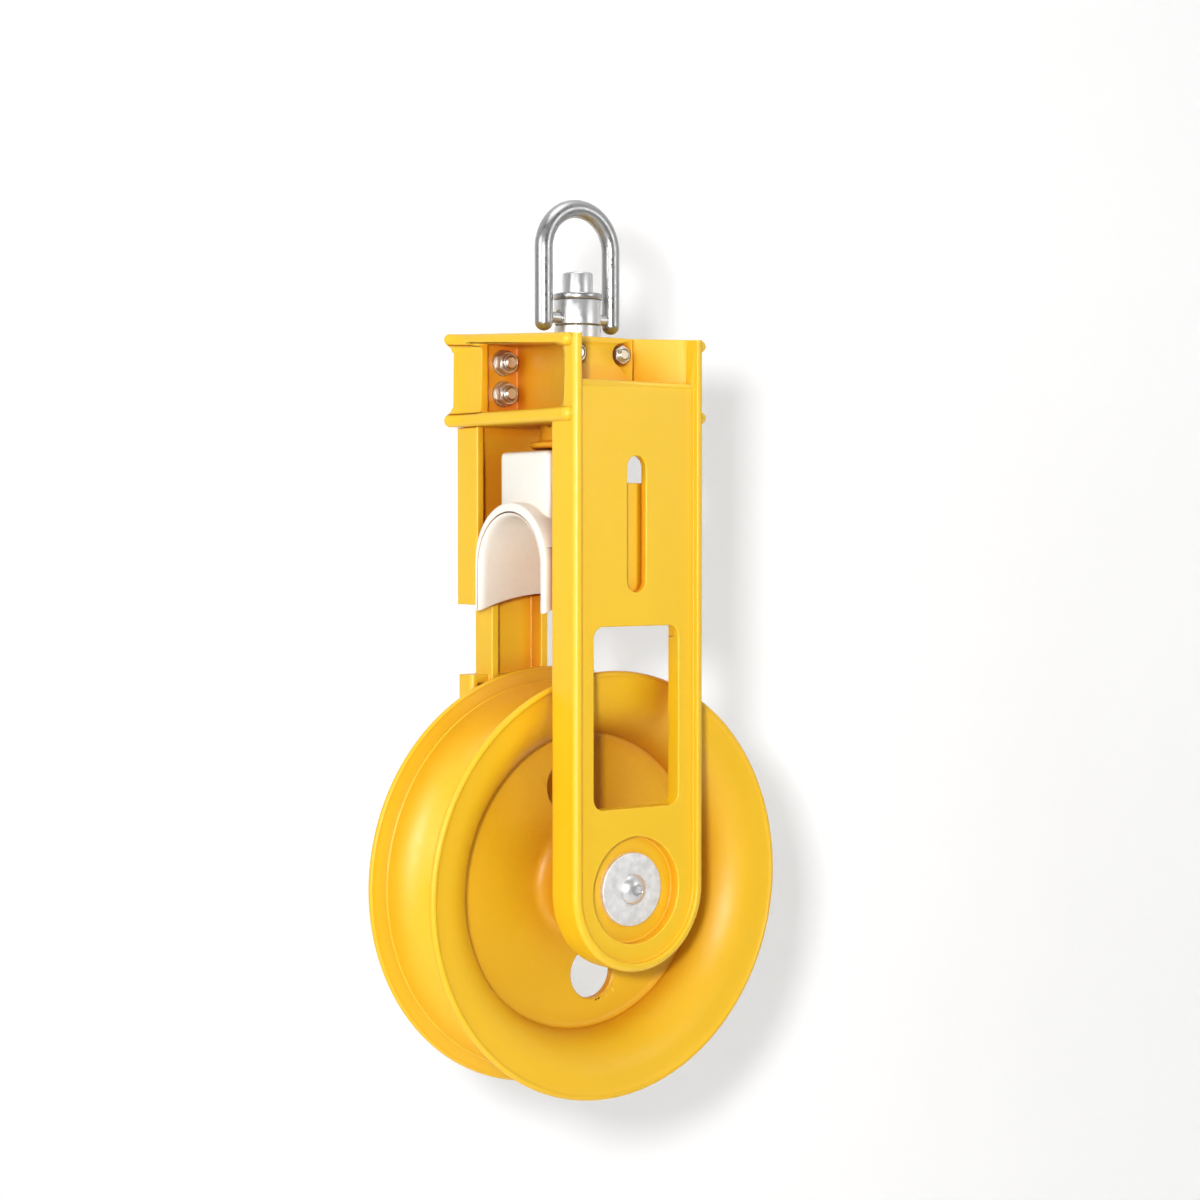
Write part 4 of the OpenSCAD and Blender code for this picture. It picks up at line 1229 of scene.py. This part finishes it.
@dataclass
class Fasteners(SubAssembly):
    """The bolts that hold the rear strap, and the studs that clamp the swivel, in millimetres.

    Attributes:
        bolt_x: Distance of the strap bolts from the middle.
        bolt_zs: Heights of the lower and upper strap bolts.
        pocket: Where the strap bolts' washers lie in the side pockets.
        washer: Radius and thickness of those washers.
        rear: Where the strap bolts' heads lie.
        head: Height of those heads, and their width across the flats.
        strap_nut: The strap bolts' nut.
        clamp_x: Distance of the clamp studs from the middle.
        clamp_z: Their height.
        clamp_seat: Where their nuts lie.
        clamp_end: Where the studs end inside the head.
        clamp_nut: The clamp studs' nut.
    """

    bolt_x: float = 22.0
    bolt_zs: Flat = (230.1, 244.9)
    pocket: float = 30.0
    washer: Flat = (6.25, 1.2)
    rear: float = 46.5
    head: Flat = (4.0, 10.0)
    strap_nut: LockNut = LockNut(10.0, 4.2, 4.2, 1.6, 3.0, 0.6)
    clamp_x: float = 12.9
    clamp_z: float = 247.5
    clamp_seat: float = -14.5
    clamp_end: float = -1.5
    clamp_nut: LockNut = LockNut(8.0, 4.2, 3.5, 1.0, 2.5, 0.2)

    def ring(self, x: float, z: float) -> Piece:
        """The washer of a strap bolt.

        Args:
            x: Its place along the cable.
            z: Its height above the axle.

        Returns:
            The washer.
        """
        r, t = self.washer
        seat, bore = self.pocket - t, self.strap_nut.bore_r + 0.05
        outline = [
            (bore, self.pocket), (r, self.pocket), (r, seat + 0.35), (r - 0.1, seat + 0.12),
            (r - 0.35, seat), (bore + 0.25, seat), (bore, seat + 0.2),
        ]
        ring = Bench.lathe("strap_washers_turned", outline, at(x, 0, z), Axis.Y, 72)
        Bench.smooth(ring, 40.0)
        return ring

    def bolt(self, x: float, z: float, seat: float) -> Piece:
        """A strap bolt, its head forged with a dished top.

        Args:
            x: Its place along the cable.
            z: Its height above the axle.
            seat: Where its nut lies.

        Returns:
            The bolt.
        """
        low, (height, across) = self.rear, self.head
        end, corner = low + height, corner_of(across)
        bolt = Bench.rod("strap_bolts_forged", at(x, low, z), at(x, end, z), corner * MM, 6)
        wide = corner + 0.05
        crown = [
            (0, low), (wide, low), (wide, end - 0.6), (across / 2 - 0.1, end), (3.4, end),
            (3.1, end - 0.15), (0, end - 0.15),
        ]
        Bench.carve(bolt, Bench.lathe("crown", crown, at(x, 0, z), Axis.Y, 72), "INTERSECT")
        Bench.carve(bolt, self.strap_nut.shank("shank", x, seat, z, low + 0.5), "UNION")
        Bench.smooth(bolt, 28.0)
        return bolt

    def group(self, piece: Piece, node: str, shifts: Iterable[Point]) -> None:
        """Sets out copies of a fastener and dresses them as one piece.

        Args:
            piece: The fastener at its first place.
            node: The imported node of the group.
            shifts: The way from there to each of the other places.
        """
        self.dresser.put(Bench.repeat(piece, shifts), Body.FRAME, Slot.ZINC, [node])

    def build(self) -> None:
        """Models and dresses all of them."""
        x, (z, z_up) = -self.bolt_x, self.bolt_zs
        seat = self.pocket - self.washer[1]
        strap = {
            "strap_washers": self.ring(x, z),
            "strap_nuts": self.strap_nut.nut("strap_nuts_locking", x, seat, z),
            "strap_bolts": self.bolt(x, z, seat),
        }
        across, up = 2 * self.bolt_x * MM, (z_up - z) * MM
        for node, piece in strap.items():
            self.group(piece, node, [(0, 0, up), (across, 0, 0), (across, 0, up)])
        place = (-self.clamp_x, self.clamp_seat, self.clamp_z)
        nut = self.clamp_nut.nut("clamp_nuts_locking", *place)
        stud = self.clamp_nut.shank("clamp_studs_threaded", *place, self.clamp_end)
        Bench.smooth(stud, 28.0)
        for node, piece in (("clamp_nuts", nut), ("clamp_studs", stud)):
            self.group(piece, node, [(2 * self.clamp_x * MM, 0, 0)])


@dataclass
class Swivel(SubAssembly):
    """The eye's bow and the turned pieces of the swivel, in millimetres.

    Attributes:
        body_r: Radius of the swivel.
        bore_r: Radius of the hole for the bolt.
        split: Height of the turning half's underside.
        top: Height of its top.
        gap: The gap under the polished washer.
        washer_t: Thickness of that washer.
        washer_out: How far the washer stands out.
        head_r: Radius of the bolt's head.
        head_h: Height of the bolt's head.
        socket: Width of its socket across the flats.
        shank_r: Radius of the bolt's shank.
        bolt_end: Height of the bolt's lower end.
        bow_r: Radius of the bow's middle line.
        bar_r: Radius of the bow's bar.
        crown: Height of the centre of the bow's round.
        leg_end: Height of the centre of its ball ends.
        pin_z: Height of its pins.
        pin_r: Radius of its pins.
        pin_in: Distance of the pins' inner ends from the axis.
    """

    body_r: float = 11.0
    bore_r: float = 5.05
    split: float = 262.0
    top: float = 273.6
    gap: float = 0.06
    washer_t: float = 3.0
    washer_out: float = 0.6
    head_r: float = 7.2
    head_h: float = 9.8
    socket: float = 8.0
    shank_r: float = 5.0
    bolt_end: float = 205.1
    bow_r: float = 19.6
    bar_r: float = 4.25
    crown: float = 296.95
    leg_end: float = 262.7
    pin_z: float = 265.0
    pin_r: float = 2.6
    pin_in: float = 7.6

    @property
    def seat(self) -> float:
        """The height of the washer's top, which the bolt's head stands on."""
        return self.top + self.gap + self.washer_t

    def turned(self, name: str, outline: list[Flat]) -> Piece:
        """Turns a piece about the swivel's axis from radii and heights above the axle."""
        return Bench.lathe(name, outline, (0, 0, AXLE_Z), Axis.Z, 128)

    def bow(self) -> Piece:
        """The bow: a round bar bent in a half circle, with two straight legs and ball ends.

        Returns:
            The bow.
        """
        sides = 48
        Bench.clear()
        bpy.ops.mesh.primitive_circle_add(
            vertices=sides, radius=self.bar_r * MM, location=at(-self.bow_r, 0, self.crown)
        )
        bow = Bench.settle("eye_bow_bent")
        Bench.edit()
        bpy.ops.mesh.spin(steps=72, angle=-math.pi, center=at(0, 0, self.crown), axis=Axis.Y.value)
        Bench.leave()
        legs = []
        for x in (-self.bow_r, self.bow_r):
            ball = [(r, self.leg_end + h) for r, h in arc((0, 0), self.bar_r, -90, 0, 14)]
            ball[0] = (0, ball[0][1])
            legs.append(Bench.lathe("leg", ball + [(self.bar_r, self.crown)], at(x, 0, 0), Axis.Z, sides))
        bow = Bench.join([bow, *legs], "eye_bow_bent")
        Bench.close(bow, 2e-5)
        Bench.smooth(bow, 60.0)
        return bow

    def head(self) -> Piece:
        """The turning half, with stepped bores for the pins.

        Returns:
            The turning half.
        """
        r, e, bore = self.body_r, 0.5, self.bore_r
        head = self.turned("swivel_head_turned", [
            (bore, self.split), (r - 0.25, self.split), (r, self.split + 0.25), (r, self.top - e),
            (r - 0.15, self.top - 0.15), (r - e, self.top), (bore, self.top),
        ])
        for way in (-1, 1):
            for inner, radius in ((self.pin_in - 0.3, self.pin_r + 0.05), (r - 0.9, self.pin_r + 1.05)):
                ends = at(way * inner, 0, self.pin_z), at(way * 2 * r, 0, self.pin_z)
                Bench.carve(head, Bench.rod("bore", *ends, radius * MM, 64))
        Bench.smooth(head, 35.0)
        return head

    def washer(self) -> Piece:
        """The polished washer.

        Returns:
            The washer.
        """
        bore, out, low, high = self.bore_r, self.body_r + self.washer_out, self.top + self.gap, self.seat
        washer = self.turned("swivel_washer_polished", [
            (bore, low), (out - 0.75, low), (out - 0.3, low + 0.12), (out, low + 0.6), (out, high - 0.7),
            (out - 0.2, high - 0.25), (out - 0.75, high), (bore, high),
        ])
        Bench.smooth(washer, 50.0)
        return washer

    def bolt(self) -> Piece:
        """The bolt, with a hexagonal socket in its head.

        Returns:
            The bolt.
        """
        w, crown, seat = self.head_r, self.seat + self.head_h, self.seat + 0.01
        shank, tip = self.shank_r, self.bolt_end
        bolt = self.turned("swivel_bolt_turned", [
            (0, tip), (shank - 0.8, tip), (shank, tip + 0.8), (shank, seat), (w - 0.15, seat),
            (w, self.seat + 0.16), (w, crown - 0.8), (w - 0.2, crown - 0.3), (w - 0.65, crown), (0, crown),
        ])
        ends = at(0, 0, crown - 5), at(0, 0, crown + 1)
        Bench.carve(bolt, Bench.rod("hexagon", *ends, corner_of(self.socket) * MM, 6))
        Bench.smooth(bolt, 35.0)
        return bolt

    def build(self) -> None:
        """Models and dresses the bow and the swivel."""
        self.dresser.put(self.bow(), Body.EYE, Slot.STAINLESS, ["eye_bow"], Look.POLISHED)
        self.dresser.put(self.head(), Body.SWIVEL, Slot.STAINLESS, ["swivel_head"])
        self.dresser.put(self.washer(), Body.FRAME, Slot.POLISHED, ["swivel_washer"], Look.POLISHED)
        self.dresser.put(self.bolt(), Body.FRAME, Slot.STAINLESS, ["swivel_bolt"])


@dataclass(frozen=True)
class Lamp:
    """A soft square lamp that shines on the sheave.

    Attributes:
        name: The lamp's name.
        toward: The direction from the sheave to the lamp.
        distance: Its distance.
        size: The side of its square.
        level: How bright a white surface that faces it becomes.
    """

    name: str
    toward: Point
    distance: float
    size: float
    level: float

    def hang(self, aim: Point) -> None:
        """Hangs the lamp.

        Args:
            aim: The point that it shines on.
        """
        data = bpy.data.lights.new(self.name, "AREA")
        data.size = self.size
        data.energy = self.level * (math.pi * self.distance) ** 2
        lamp = bpy.data.objects.new(self.name, data)
        way = Vector(self.toward).normalized()
        lamp.location = Vector(aim) + way * self.distance
        lamp.rotation_mode = "QUATERNION"
        lamp.rotation_quaternion = (-way).to_track_quat("-Z", "Y")
        lamp.visible_camera = False
        bpy.context.scene.collection.objects.link(lamp)


@dataclass
class Studio:
    """The floor with its backdrop, the lamps, the sky and the camera.

    Attributes:
        eye: The camera's place.
        look: The camera's direction.
        lens: The camera's lens in millimetres.
        aim: The point that the lamps shine on.
        lamps: The lamps; the first throws the shadow on the backdrop.
        back: The distance of the backdrop behind the axle.
        top: The height of its upper edge.
        bend: The radius of its bend into the floor.
        floor_z: The height of the floor.
        front: The place of the floor's front edge.
        half_w: Half the width of the floor and the backdrop.
        paper_tone: How bright their paper is.
        glow: The light that the backdrop shows to the camera by itself.
        fill: The light from all around.
        near: The light that gloss shows on the camera's side.
        turn: Where that light starts and ends to turn to white, as a cosine from behind.
        lift: How far up the middle of the white side stands.
    """

    eye: Point = (-0.6665, -0.8981, -0.1497)
    look: Point = (0.60331, 0.79705, -0.02700)
    lens: float = 70.95
    aim: Point = (0.0, 0.0, -0.22)
    lamps: tuple[Lamp, ...] = (
        Lamp("flash", (-0.6477, -0.7530, 0.1167), 1.12, 0.07, 0.74),
        Lamp("key", (0.45, -0.85, 0.27), 1.3, 0.5, 0.14),
        Lamp("left_box", (-0.95, -0.12, 0.28), 1.3, 0.8, 0.38),
        Lamp("top_box", (-0.1, -0.25, 1.0), 1.3, 0.8, 0.30),
        Lamp("rear_box", (0.45, 0.85, 0.25), 1.4, 1.0, 0.30),
    )
    back: float = 0.42
    top: float = 0.9
    bend: float = 0.22
    floor_z: float = -0.80
    front: float = -2.6
    half_w: float = 2.2
    paper_tone: float = 0.88
    glow: float = 0.15
    fill: float = 0.09
    near: float = 0.2
    turn: Flat = (-0.35, 0.45)
    lift: float = 0.35

    def camera(self) -> None:
        """Sets the camera where the photograph was taken."""
        data = bpy.data.cameras.new("camera")
        data.lens = self.lens
        data.sensor_width = 36.0
        data.clip_start, data.clip_end = 0.05, 50.0
        camera = bpy.data.objects.new("camera", data)
        camera.location = self.eye
        camera.rotation_mode = "QUATERNION"
        camera.rotation_quaternion = Vector(self.look).to_track_quat("-Z", "Y")
        bpy.context.scene.collection.objects.link(camera)
        bpy.context.scene.camera = camera

    def sky(self) -> None:
        """Lights the scene evenly, shows white to the camera, and is dim on the camera's side in gloss."""
        world = bpy.data.worlds.new("sky")
        bpy.context.scene.world = world
        world.use_nodes = True
        graph = Graph(world.node_tree)
        path = graph.add("ShaderNodeLightPath").outputs
        facing = graph.add("ShaderNodeVectorMath", {"operation": "DOT_PRODUCT"})
        graph.feed(facing, 0, graph.add("ShaderNodeTexCoord").outputs["Generated"])
        graph.feed(facing, 1, Vector((self.look[0], self.look[1], self.lift)).normalized())
        far = graph.remap(facing.outputs["Value"], *self.turn, self.near, 1.0)
        shine = graph.combine("MAXIMUM", path["Is Glossy Ray"], path["Is Transmission Ray"])
        seen = graph.combine("MAXIMUM", path["Is Camera Ray"], graph.combine("MULTIPLY", shine, far))
        back = world.node_tree.nodes["Background"]
        graph.feed(back, "Color", WHITE)
        graph.feed(back, "Strength", graph.combine("MAXIMUM", seen, self.fill))

    def paper(self) -> Material:
        """White paper that shows from its front only.

        Returns:
            The material.
        """
        graph = Surface("studio_paper")
        path = graph.add("ShaderNodeLightPath").outputs
        shine = graph.combine("MAXIMUM", path["Is Glossy Ray"], path["Is Transmission Ray"])
        glow = graph.combine("MULTIPLY", graph.combine("MAXIMUM", path["Is Camera Ray"], shine), self.glow)
        tone = self.paper_tone
        both = graph.add("ShaderNodeAddShader")
        graph.feed(both, 0, graph.add("ShaderNodeBsdfDiffuse", Color=(tone, tone, tone, 1.0)).outputs[0])
        graph.feed(both, 1, graph.add("ShaderNodeEmission", Color=WHITE, Strength=glow).outputs[0])
        behind = graph.add("ShaderNodeNewGeometry").outputs["Backfacing"]
        open_ = graph.combine("MAXIMUM", behind, path["Is Shadow Ray"])
        mix = graph.add("ShaderNodeMixShader", Fac=open_)
        graph.feed(mix, 1, both.outputs[0])
        graph.feed(mix, 2, graph.add("ShaderNodeBsdfTransparent").outputs[0])
        return graph.finish(mix)

    def cove(self) -> None:
        """Makes the floor, with the backdrop that rises from it behind the sheave."""
        ahead = Vector((self.look[0], self.look[1], 0.0)).normalized()
        across = Vector((ahead.y, -ahead.x, 0.0))
        curve = arc((self.back - self.bend, self.floor_z + self.bend), self.bend, 0, -90, 14)
        rise = [(self.back, self.top), *curve, (self.front, self.floor_z)]
        route = [tuple(ahead * d + Vector((0, 0, z)) - across * self.half_w) for d, z in rise]
        paper = Bench.trace("paper", route, closed=False)
        Bench.edit()
        bpy.ops.mesh.extrude_edges_move(TRANSFORM_OT_translate={"value": across * 2 * self.half_w})
        Bench.leave()
        if paper.data.polygons[0].normal.dot(ahead) > 0:
            Bench.edit()
            bpy.ops.mesh.flip_normals()
            Bench.leave()
        Bench.smooth(paper, 40.0)
        paper.data.materials.append(self.paper())

    def build(self) -> None:
        """Builds the studio."""
        self.camera()
        self.sky()
        self.cove()
        for lamp in self.lamps:
            lamp.hang(self.aim)
        bpy.context.scene.view_settings.view_transform = "Standard"


def main() -> None:
    """Builds the sheave in order."""
    logging.basicConfig(level=logging.INFO, format="%(name)s: %(message)s")
    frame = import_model()
    Studio().build()
    dresser = Dresser(frame, Finishes())
    for group in (Wheel, Mouldings, Guide, AxleEnds, Fasteners, Swivel):
        group(dresser).build()
    dresser.rest()


if __name__ == "__main__":
    main()
